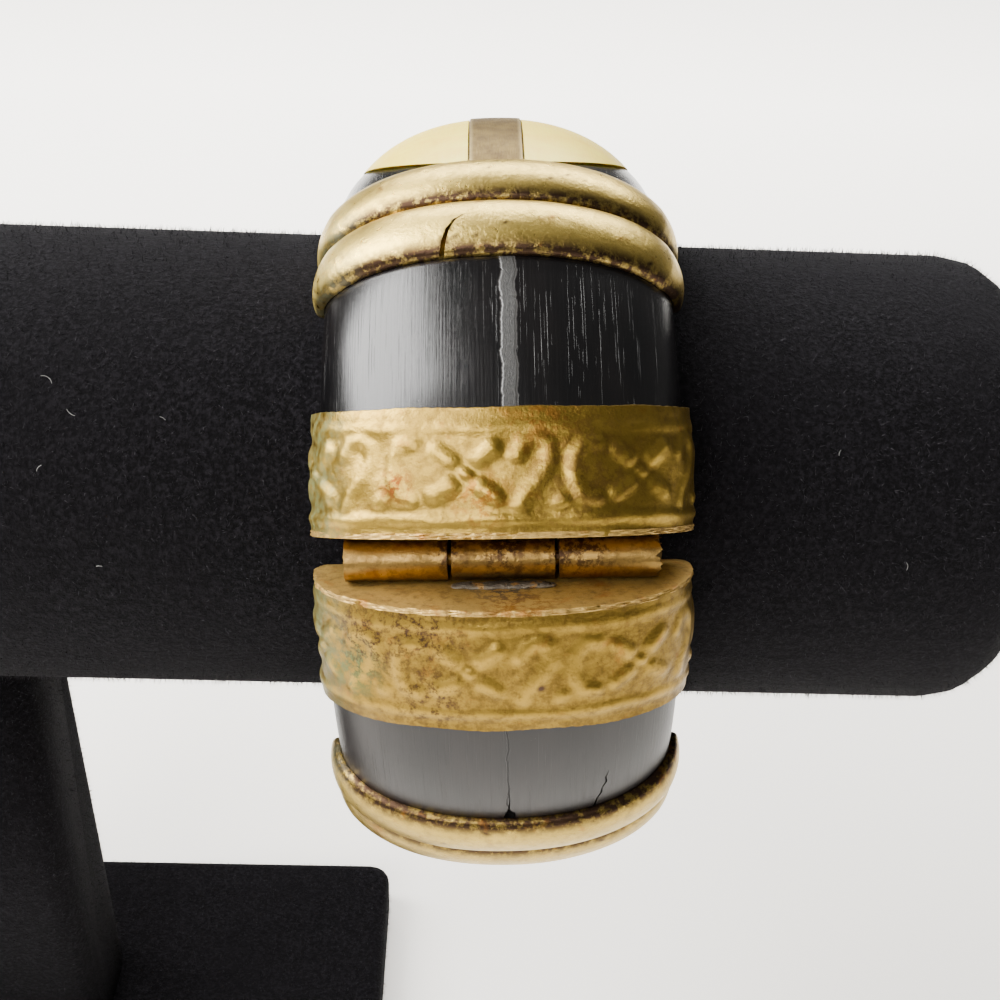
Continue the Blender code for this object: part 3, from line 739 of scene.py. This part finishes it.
# %% Rolled knuckles
HINGE_RADIUS = 33.0 * MM
PLATE_DISTANCE = (GAP_HALF + (HINGE_RADIUS - CAP_CROWN) * math.tan(GAP_SLOPE)) * math.cos(GAP_SLOPE)
KNUCKLE_SHEET = 0.42 * MM
KNUCKLE_RADIUS = 1.9 * MM
CURLED_SHARE = 0.12
# each row holds a name, a middle and a length in mm, which half, and how far each end curls in mm
KNUCKLES = [
    ("left_knuckle", -9.3, 9.0, 1, 0.15, 0.12),
    ("middle_knuckle", 0.0, 9.0, -1, 0.10, 0.15),
    ("right_knuckle", 9.3, 9.0, 1, 0.15, 1.3),
]


def hinge_points(x, sideways, outwards, half):
    """World places near the hinge: along it, into the bangle, and towards that half's end plate."""
    y = -HINGE_RADIUS + sideways * math.cos(GAP_SLOPE) + outwards * math.sin(GAP_SLOPE)
    z = (-sideways * math.sin(GAP_SLOPE) + outwards * math.cos(GAP_SLOPE)) * half
    return hung(x, y, z)


def rolled_outline():
    """The closed outline of a strip that starts as a flat leaf and then rolls round the pin."""
    leaf_height = PLATE_DISTANCE - 0.5 * KNUCKLE_SHEET
    leaf = [(s * MM, leaf_height) for s in (2.6, 2.0, 1.4, 0.8, 0.3)]
    tube = KNUCKLE_RADIUS - 0.5 * KNUCKLE_SHEET
    turns = np.radians(np.linspace(-12, -335, 44))
    roll = [(tube * math.sin(t), tube * math.cos(t)) for t in turns]
    line = np.array(leaf + roll)
    tangent = np.gradient(line, axis=0)
    tangent /= np.linalg.norm(tangent, axis=1, keepdims=True)
    normal = np.stack([-tangent[:, 1], tangent[:, 0]], axis=1)
    one_side = line + 0.5 * KNUCKLE_SHEET * normal
    other_side = (line - 0.5 * KNUCKLE_SHEET * normal)[::-1]
    return np.concatenate([one_side, other_side, one_side[:1]])


def rolled_knuckle(name, centre, length, half, seed, curl_left, curl_right):
    outline = rolled_outline()
    stations = np.array([0, 0.02, 0.06, 0.2, 0.35, 0.5, 0.65, 0.8, 0.94, 0.98, 1.0])
    step = np.arange(len(outline))
    travelled = 0.6 * np.minimum(step, len(outline) - 1 - step)
    wave = np.abs(ripple(6 * travelled, 0, seed)) * MM
    places = []
    for share in stations:
        at_left = max(0, CURLED_SHARE - share) / CURLED_SHARE
        at_right = max(0, share - (1 - CURLED_SHARE)) / CURLED_SHARE
        x = centre + (share - 0.5) * length + (at_left * curl_left - at_right * curl_right) * wave
        dent = 1 - 0.02 * ripple(4.0 * travelled, 9 * share, seed + 1)
        places.append(hinge_points(x, outline[:, 0] * dent, outline[:, 1] * dent, half))
    return bent_sheet(name, np.array(places), step * 0.1 * MM, stations[:, None] * length, smooth=45)


for seed, (name, centre, length, half, curl_left, curl_right) in enumerate(KNUCKLES):
    knuckle = rolled_knuckle(name, centre * MM, length * MM, half, 5 * seed + 2, curl_left, curl_right)
    dress(knuckle, knuckle_brass, STAND_BODY if half > 0 else LOWER_BODY)
dress(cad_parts["hinge_pin"], knuckle_brass)

# %% [markdown]
# Grey solder holds the middle knuckle to the lower plate. It ran unevenly, so it is a lumpy bead: a bent
# sheet whose radius rises and falls along it.

# %% Solder
SOLDER_HALF_LENGTH = 4.6 * MM
SOLDER_SIZE = 0.62 * MM
SOLDER_SIDEWAYS = -1.75 * MM
SOLDER_SUNK = 0.12 * MM


def solder_bead(name, half, seed):
    along = np.linspace(0, 1, 61)[:, None]
    turn = np.linspace(0, math.tau, 19)[None, :]
    ends = np.sqrt(np.clip(1 - (2 * along - 1) ** 8, 0.0001, 1))
    lump = SOLDER_SIZE * ends * (0.75 + 0.35 * ripple(10 * along, turn, seed))
    x = SOLDER_HALF_LENGTH * (2 * along - 1) + 0 * turn
    side = SOLDER_SIDEWAYS + lump * 1.5 * np.cos(turn)
    out = PLATE_DISTANCE - SOLDER_SUNK + lump * 0.55 * np.sin(turn)
    return bent_sheet(name, hinge_points(x, side, out, half), turn * 0.5 * MM, along * 9 * MM, smooth=80)


def solder_finish():
    made, tree, shader = finish("grey_solder", Metallic=0.85)
    grain = noise(object_map(tree), 2.6, 6, 0.75)
    colour = blend(mask(grain, 0.35, 0.62), (0.05, 0.043, 0.035), (0.20, 0.18, 0.15))
    bare = mask(noise(object_map(tree, shift=(5, 5, 5)), 0.9), 0.55, 0.62)
    colour = blend(bare, colour, (0.36, 0.22, 0.08))
    rough = mask(grain, 0.1, 1.2)
    join(shader, Base_Color=colour, Roughness=rough, Normal=bump(grain, 0.25 * MM, 0.9))
    return made


bead = solder_bead("middle_solder", -1, 4)
dress(bead, solder_finish(), LOWER_BODY)

# %% [markdown]
# ## Ribs
# The ribs are half-round wire, two and two, bent over the dome. They thin where they turn round the edge.
# Their lower sides are darkened by brown dirt and by painted shade, and their crests carry a painted
# highlight. One has split, which is cut out of the mesh with a curved blade.

# %% Ribs
RIB_WIDTH = 6.6 * MM
RIB_HEIGHT = 1.5 * MM
RIB_GAP = 0.3 * MM
RIB_FROM_FLAT = 0.9 * MM
RIB_SEAT = 0.12 * MM
RIB_STEPS = 110
PAST_EDGE = math.radians(14)
BENT_IN = math.radians(22)
SPLIT = [
    (-5.0, 39.0, 0.26), (-4.95, 41.5, 0.24), (-4.7, 43.4, 0.2),
    (-4.3, 45.0, 0.15), (-3.7, 46.2, 0.09), (-3.1, 46.8, 0.02),
]


def rib_path():
    """Places (x, radius) along a rib and the way out at each, over the dome and round both lips."""
    turn = np.linspace(-PAST_EDGE, math.pi + PAST_EDGE, RIB_STEPS + 1)
    x, radius = dome(np.clip(turn, 0, math.pi))
    ahead = dome(np.clip(turn + 0.01, 0, math.pi))
    behind = dome(np.clip(turn - 0.01, 0, math.pi))
    tangent = np.stack([ahead[0] - behind[0], ahead[1] - behind[1]], axis=-1)
    tangent /= np.linalg.norm(tangent, axis=-1, keepdims=True)
    normal = np.stack([tangent[:, 1], -tangent[:, 0]], axis=-1)
    past = np.maximum(0, np.maximum(-turn, turn - math.pi)) / PAST_EDGE * BENT_IN
    side = np.where(turn < 0.5 * math.pi, 1, -1)
    on_lip = past > 0
    lip_normal = np.stack([side * np.cos(past), -np.sin(past)], axis=-1)
    normal[on_lip] = lip_normal[on_lip]
    x = np.where(on_lip, side * (HALF_WIDTH - LIP) + LIP * normal[:, 0], x)
    radius = np.where(on_lip, WIDEST + LIP * normal[:, 1], radius)
    return x, radius, normal


def rib(name, centre_angle, half, seed):
    x, radius, normal = rib_path()
    step = np.arange(RIB_STEPS + 1)
    from_end = np.minimum(step, RIB_STEPS - step) / RIB_STEPS
    share = 0.35 + 0.65 * np.minimum(1, from_end / 0.2) ** 0.8
    share = share * np.sqrt(np.clip(from_end / 0.02 + 0.06, 0.06, 1))
    arc = np.concatenate([np.linspace(0, math.pi, 25), [math.pi, 0.0]])
    under = np.array([0.0] * 25 + [1.0, 1.0])
    arc_x, arc_up = np.cos(arc), np.where(under > 0, -0.06, np.sin(arc) ** 0.92)
    across = even_turns(RIB_STEPS)[1][:, None] + 0 * arc
    dents = 1 + 0.03 * ripple(across / MM * 0.4, 3 * arc, seed)
    up = RIB_SEAT + RIB_HEIGHT * share[:, None] * arc_up * dents
    angle = centre_angle + 0.5 * RIB_WIDTH * share[:, None] * arc_x / CROWN
    x, radius = x[:, None] + normal[:, 0:1] * up, radius[:, None] + normal[:, 1:2] * up
    places = ring_points(x, radius, angle, half)
    piece = bent_sheet(name, places, across, arc * 2 * MM, smooth=60)
    # painted light: high on the crest, a little towards the upper side, for a painted highlight; low on the
    # lower side and underside, for painted shade with dirt
    crest_light_and_edge_shade = np.where(under > 0, 0.0, np.clip(1.1 * np.sin(arc) + 0.5 * np.cos(arc) - 0.2, 0, 1))
    remember(piece, np.broadcast_to(crest_light_and_edge_shade, places.shape[:2]), places)
    return piece


rib_step = (RIB_WIDTH + RIB_GAP) / CROWN
flat_edge = 0.5 * math.pi - math.acos(FLAT_HEIGHT / CROWN)
first_rib = flat_edge - (RIB_FROM_FLAT + 0.5 * RIB_WIDTH) / CROWN - rib_step
rib_angles = {
    "front_a": first_rib, "front_b": first_rib + rib_step,
    "back_b": math.pi - first_rib - rib_step, "back_a": math.pi - first_rib,
}
for half, word, body in ((1, "upper", STAND_BODY), (-1, "lower", LOWER_BODY)):
    for seed, (spot, angle) in enumerate(rib_angles.items()):
        piece = rib(f"{word}_{spot}_rib", angle, half, seed + 20 * half)
        if (word, spot) == ("upper", "front_a"):
            cut(piece, crooked_blade("split_blade", SPLIT, 1, 39.0 * MM, 42 * MM))
            smooth_by_angle(piece, 50)
        brass = rib_brass if half > 0 else lower_rib_brass
        dress(piece, brass, body, [f"{word}_rib_{spot}"])

# %% [markdown]
# ## Crown
# The bone cap is a polished dome on the sawn flat, paler on top and yellower towards its lower edge, and
# darker there by height, which is painted shade. It is a short length of the same D, raised in the middle,
# with everything under the flat cut away. A groove takes the strip.

# %% Bone
BONE_LIFT = 1.5 * MM
BONE_REACH = math.acos(FLAT_HEIGHT / CROWN)
BONE_GAP = 0.1 * MM
STRIP_HALF_WIDTH = 2.6 * MM
STRIP_DEPTH = 1.2 * MM


def bone_lift(angle):
    share = np.minimum(1, np.abs(angle - 0.5 * math.pi) / BONE_REACH)
    return BONE_LIFT * (1 - share * share)


def crown_strip(name, wider, deeper, higher, longer):
    """A bar that follows the crown, let into the bone; it is cut with a bigger copy of itself."""
    half_width = STRIP_HALF_WIDTH + wider
    xs = np.linspace(half_width, -half_width, 9)
    top = WIDEST + RISE * (1 - np.abs(xs / HALF_WIDTH) ** FULLNESS) ** (1 / FULLNESS) + higher
    low = CROWN - STRIP_DEPTH - deeper
    xs = np.concatenate([xs, [-half_width, half_width, half_width]])
    radii = np.concatenate([top, [low, low, top[0]]])
    angle = 0.5 * math.pi + (BONE_REACH + longer / CROWN) * np.linspace(-1, 1, 49)[:, None]
    radii = radii[None, :] + bone_lift(angle)
    return bent_sheet(name, ring_points(xs[None, :], radii, angle), xs, angle * CROWN, smooth=40)


def bone_dome(name):
    angle = 0.5 * math.pi + 1.08 * BONE_REACH * np.linspace(-1, 1, 61)[:, None]
    xs, radii, across = section(0, 72, 4)
    rise = np.clip((radii - FLAT_HEIGHT) / (CROWN - FLAT_HEIGHT), 0, 1)[None, :]
    places = ring_points(xs[None, :], radii[None, :] + rise * bone_lift(angle), angle)
    return bent_sheet(name, places, across, angle * CROWN)


def bone_finish():
    made, tree, shader = finish(
        "polished_bone", IOR=1.52,
        Subsurface_Weight=0.12, Subsurface_Scale=2 * MM, Subsurface_Radius=(1.0, 0.7, 0.4),
    )
    cloud = noise(object_map(tree, (0.5, 1.3, 1)), 0.5, 4, 0.6)
    grain = noise(surface_map(tree, (2.5, 0.12, 1)), 2.0, 5, 0.6)
    # painted shade: darker and browner towards the lower edge, by height
    low = mask(part_of(object_map(tree), "Z"), 137.5, 133.2)
    colour = blend(mask(cloud, 0.3, 0.7), (0.90, 0.73, 0.08), (0.84, 0.58, 0.05))
    colour = blend(times(low, 0.75), colour, (0.52, 0.32, 0.05))
    colour = blend(mask(grain, 0.70, 0.80), colour, (0.55, 0.40, 0.18))
    rough = mask(grain, -0.3, 1.6)
    join(shader, Base_Color=colour, Roughness=rough, Normal=bump(grain, 0.03 * MM, 0.5))
    return made


bone = bone_dome("bone_dome")
cut(bone, saw_block("bone_blank", FLAT_HEIGHT + BONE_GAP), "INTERSECT")
cut(bone, crown_strip("strip_groove", BONE_GAP, BONE_GAP, 3 * MM, 2 * MM))
smooth_by_angle(bone, 35)
dress(bone, bone_finish(), STAND_BODY, ["bone_cap"])

# %% [markdown]
# A strip of greyed brass is let in along the crown between the two halves of the bone. Its edges are rubbed
# bright, and its face has a brown stain.

# %% Crown strip
def strip_finish():
    made, tree, shader = finish("greyed_strip", Metallic=1.0)
    cloud = noise(object_map(tree), 0.55, 5, 0.65)
    brushed = noise(surface_map(tree, (6, 0.5, 1)), 1.5, 4, 0.6)
    colour = blend(mask(cloud, 0.35, 0.68), (0.17, 0.115, 0.033), (0.09, 0.055, 0.016))
    edge = mask(sums("ABSOLUTE", part_of(surface_map(tree), "X")), 2.15, 2.5)
    colour = blend(times(edge, 0.7), colour, (0.36, 0.28, 0.13))
    rough = mask(brushed, -0.8, 1.9)
    join(shader, Base_Color=colour, Roughness=rough, Normal=bump(brushed, 0.04 * MM, 0.6))
    return made


strip = crown_strip("crown_strip_let_in", 0, 0, 0.12 * MM, -0.2 * MM)
sharp = math.radians(50)
apply_modifier(strip, "BEVEL", width=0.12 * MM, segments=2, limit_method="ANGLE", angle_limit=sharp)
dress(strip, strip_finish(), STAND_BODY, ["crown_strip"])

# %% [markdown]
# ## Clasp
# The clasp is behind the bangle, plain, and its CAD shape is right. A node's mesh is loose triangles, so a
# copy of it is merged and smoothed, and the copy stands for the node.

# %% Smoothed copies
def smoothed_copy(node, name, degrees):
    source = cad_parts[node]
    piece = source.copy()
    piece.data = source.data.copy()
    piece.name = name
    for key in list(piece.keys()):
        del piece[key]
    piece.parent = None
    bpy.context.scene.collection.objects.link(piece)
    pick(piece)
    bpy.ops.object.mode_set(mode="EDIT")
    bpy.ops.mesh.select_all(action="SELECT")
    bpy.ops.mesh.remove_doubles(threshold=0.001 * MM)
    bpy.ops.object.mode_set(mode="OBJECT")
    smooth_by_angle(piece, degrees)
    return piece


clasp = smoothed_copy("clasp", "clasp_barrel", 40)
dress(clasp, knuckle_brass, STAND_BODY, ["clasp"])

# %% [markdown]
# ## Stand
# Velvet drinks light when seen straight on, and shows a thin grey sheen at its edges. The finish is nearly
# black, with a trace of sheen. What makes it look like cloth in a close view is its pile, so short fibres
# are planted all over it, in a lighter tone of the same finish, which is a painted sheen on the fibres.

# %% Velvet
# each stand node, with how many blades of pile are planted on it
PILE_COUNTS = {"stand_bar": 90000, "stand_base": 22000, "stand_post": 16000}


def velvet_finish(name, tone):
    made, tree, shader = finish(
        name, Roughness=0.95, Specular_IOR_Level=0.05,
        Sheen_Weight=0.03, Sheen_Roughness=0.45, Sheen_Tint=(0.7, 0.7, 0.75, 1),
    )
    nap = noise(object_map(tree), 2.2, 5, 0.7)
    brushed = noise(object_map(tree, (0.05, 0.05, 0.05)), 1.0, 3)
    colour = blend(mask(nap, 0.45, 0.75), tone, scaled(tone, 7.0))
    rubbed = times(mask(brushed, 0.4, 0.7), 0.5)
    colour = blend(rubbed, colour, scaled(tone, 1.8))
    join(shader, Base_Color=colour, Normal=bump(nap, 0.4 * MM, 0.8))
    return made


velvet = velvet_finish("black_velvet_cloth", (0.0022, 0.0020, 0.0024))
# painted sheen: the pile is the same velvet in a lighter tone
sheen_painted_pile_finish = velvet_finish("black_velvet_pile", (0.0105, 0.0098, 0.0110))
stand_pieces = []
for node in PILE_COUNTS:
    piece = smoothed_copy(node, node.replace("stand_", "velvet_"), 50)
    dress(piece, velvet, STAND_BODY, [node])
    stand_pieces.append(piece)

# %% [markdown]
# The pile is thousands of thin blades. Points are strewn over the triangles by area, and each gets one
# blade that leans a little at random. All blades of a piece are one mesh, because separate objects would be
# far too many. The underside of the base gets none.

# %% Pile
PILE_LENGTH = 0.75 * MM
PILE_WIDTH = 0.07 * MM
PILE_LEAN = 0.45
ABOVE_GROUND = 0.05 * MM
BASE_SIDE = 20 * MM


def strewn(piece, count, chance):
    """Random points on a piece, and the way out at each."""
    mesh = piece.data
    mesh.calc_loop_triangles()
    corners = np.array([t.vertices for t in mesh.loop_triangles])
    places = np.array([v.co for v in mesh.vertices])[corners]
    out = np.cross(places[:, 1] - places[:, 0], places[:, 2] - places[:, 0])
    area = np.linalg.norm(out, axis=1)
    chosen = chance.choice(len(area), count, p=area / area.sum())
    a, b = chance.random(count), chance.random(count)
    a, b = np.where(a + b > 1, 1 - a, a), np.where(a + b > 1, 1 - b, b)
    p = places[chosen]
    points = p[:, 0] + a[:, None] * (p[:, 1] - p[:, 0]) + b[:, None] * (p[:, 2] - p[:, 0])
    return points, out[chosen] / area[chosen][:, None]


def blades(name, roots, out, chance):
    """One mesh of thin three-cornered blades."""
    count = len(roots)
    wild = chance.normal(size=(count, 3))
    way = out + PILE_LEAN * wild
    way /= np.linalg.norm(way, axis=1, keepdims=True)
    side = np.cross(way, chance.normal(size=(count, 3)))
    side *= 0.5 * PILE_WIDTH / np.linalg.norm(side, axis=1, keepdims=True)
    reach = PILE_LENGTH * (0.55 + 0.6 * chance.random((count, 1)))
    corners = np.stack([roots - side, roots + side, roots + way * reach], axis=1)
    corners[..., 2] = np.maximum(corners[..., 2], ABOVE_GROUND)
    mesh = bpy.data.meshes.new(name)
    faces = np.arange(3 * count).reshape(-1, 3)
    mesh.from_pydata(corners.reshape(-1, 3).tolist(), [], faces.tolist())
    piece = bpy.data.objects.new(name, mesh)
    bpy.context.scene.collection.objects.link(piece)
    return piece


chance = np.random.default_rng(7)
for piece, count in zip(stand_pieces, PILE_COUNTS.values()):
    roots, out = strewn(piece, count, chance)
    seen = (out[:, 2] > -0.5) | (roots[:, 2] > BASE_SIDE)
    fuzz = blades(piece.name.replace("velvet_", "pile_"), roots[seen], out[seen], chance)
    dress(fuzz, sheen_painted_pile_finish, STAND_BODY)

# %% [markdown]
# A velvet bar always gathers lint. A few pale fibres lie on it, curled, each a thin bent ribbon.

# %% Lint
BAR_HEIGHT = 104.5 * MM
BAR_RADIUS = 24.4
PILE_TOP = 0.62
LINT_HALF_WIDTH = 0.022
LINT_STEPS = 15
# each row holds a place along the bar in mm, degrees above the front, a length in mm, a curl and a seed
LINT = [
    (28.5, 47, 1.5, 1.6, 1), (30.0, 42, 1.1, 1.0, 3), (39.0, 40, 0.7, 0.8, 5), (28.0, 30, 0.8, 1.2, 2),
    (101.0, 38, 0.6, 0.9, 6), (108.0, 12, 0.9, 1.3, 8), (33.0, 8, 0.6, 0.7, 9),
]


def lint_finish():
    made, tree, shader = finish("pale_lint", Roughness=0.8)
    tone = mask(noise(object_map(tree), 0.6, 2), 0.3, 0.7)
    join(shader, Base_Color=blend(tone, (0.16, 0.16, 0.16), (0.34, 0.34, 0.33)))
    return made


def lint_fibre(name, x, degrees, length, curl, seed):
    """A ribbon lying on the bar, that starts at x and degrees above the front and wanders."""
    heading = seed * 1.7 + curl * np.linspace(0, 1, LINT_STEPS)
    xs = x * MM + np.cumsum(np.cos(heading)) / LINT_STEPS * length * MM
    turn = math.radians(degrees) + np.cumsum(np.sin(heading)) / LINT_STEPS * length / 25
    rows = []
    for lift, side in ((0.0, -1), (0.03, 0), (0.0, 1), (-0.02, 0), (0.0, -1)):
        radius = (BAR_RADIUS + PILE_TOP + lift) * MM
        offset = side * LINT_HALF_WIDTH * MM
        height = BAR_HEIGHT + radius * np.sin(turn) - offset * np.cos(heading)
        rows.append(np.stack([xs + offset * np.sin(heading), -radius * np.cos(turn), height], axis=-1))
    return bent_sheet(name, np.array(rows), smooth=60)


lint = [lint_fibre(f"lint_{k}", *facts) for k, facts in enumerate(LINT)]
deselect()
for fibre in lint:
    fibre.select_set(True)
bpy.context.view_layer.objects.active = lint[0]
bpy.ops.object.join()
lint[0].name = "lint"
dress(lint[0], lint_finish(), STAND_BODY)

# %% [markdown]
# ## Setting
# A wide pale floor carries the stand. It glows a little, and more so far behind the object, which gives the
# bright background without another surface.

# %% Floor
FLOOR_TONE = (0.93, 0.90, 0.85, 1)
GLOW_TONE = (1.0, 0.965, 0.90, 1)
GLOW_NEAR = 0.75
GLOW_ADDED = 2.3
GLOW_RISES = (0.12, 0.48)
pale, tree, shader = finish("pale_floor", Roughness=0.8, Base_Color=FLOOR_TONE, Emission_Color=GLOW_TONE)
behind = part_of(add(tree, "ShaderNodeTexCoord").outputs["Object"], "Y")
glow = sums("MULTIPLY_ADD", mask(behind, *GLOW_RISES), GLOW_ADDED, GLOW_NEAR)
join(shader, Emission_Strength=glow)
deselect()
bpy.ops.mesh.primitive_plane_add(size=6)
floor = bpy.context.object
floor.name = "floor"
floor.data.materials.append(pale)
print("floor:", floor.name)

# %% [markdown]
# A strong soft light hangs to the left, a weaker one in front and a third behind, and the sky is weak and
# even. They are wide, because a wide light gives the soft streak on the polished horn where a point would
# give a spot.

# %% Lights
LIT_PLACE = Vector((0.0705, 0.0, 0.10))
SKY_TONE = (1.0, 0.99, 0.97, 1)
SKY_STRENGTH = 0.18
# each row holds a name, a place and a size in metres, a power in watts and a colour
LIGHTS = [
    ("window", (-0.34, -0.02, 0.47), (0.46, 0.46), 13.0, (1.0, 0.99, 0.97)),
    ("front_fill", (-0.20, -0.62, 0.60), (0.45, 0.25), 5.5, (1.0, 0.98, 0.95)),
    ("back_light", (0.12, 0.55, 0.62), (0.8, 0.25), 8.5, (1.0, 0.99, 0.97)),
]


def soft_light(name, place, size, power, colour):
    lamp = bpy.data.lights.new(name, "AREA")
    lamp.shape = "RECTANGLE"
    lamp.size, lamp.size_y = size
    lamp.energy = power
    lamp.color = colour
    holder = bpy.data.objects.new(name, lamp)
    bpy.context.scene.collection.objects.link(holder)
    holder.location = place
    holder.rotation_euler = (LIT_PLACE - Vector(place)).to_track_quat("-Z", "Y").to_euler()


for light in LIGHTS:
    soft_light(*light)
world = bpy.data.worlds.new("even_sky")
bpy.context.scene.world = world
world.use_nodes = True
sky = world.node_tree.nodes["Background"]
sky.inputs["Color"].default_value = SKY_TONE
sky.inputs["Strength"].default_value = SKY_STRENGTH
print("lights:", [light[0] for light in LIGHTS])

# %% [markdown]
# The camera's place, turn and lens were fitted to the photograph: the edges of the bar, bands and hinge
# fall where they do there.

# %% Camera
CAMERA_PLACE = (65.64 * MM, -120.19 * MM, 181.75 * MM)
CAMERA_TURN = (0.9721, -0.0414, -0.0121)
camera_data = bpy.data.cameras.new("camera")
camera_data.lens = 46.332
camera_data.sensor_width = 36
camera_data.clip_start = 5 * MM
camera = bpy.data.objects.new("camera", camera_data)
bpy.context.scene.collection.objects.link(camera)
camera.location = CAMERA_PLACE
camera.rotation_euler = CAMERA_TURN
bpy.context.scene.camera = camera
print("camera at:", [round(c, 4) for c in camera.location])
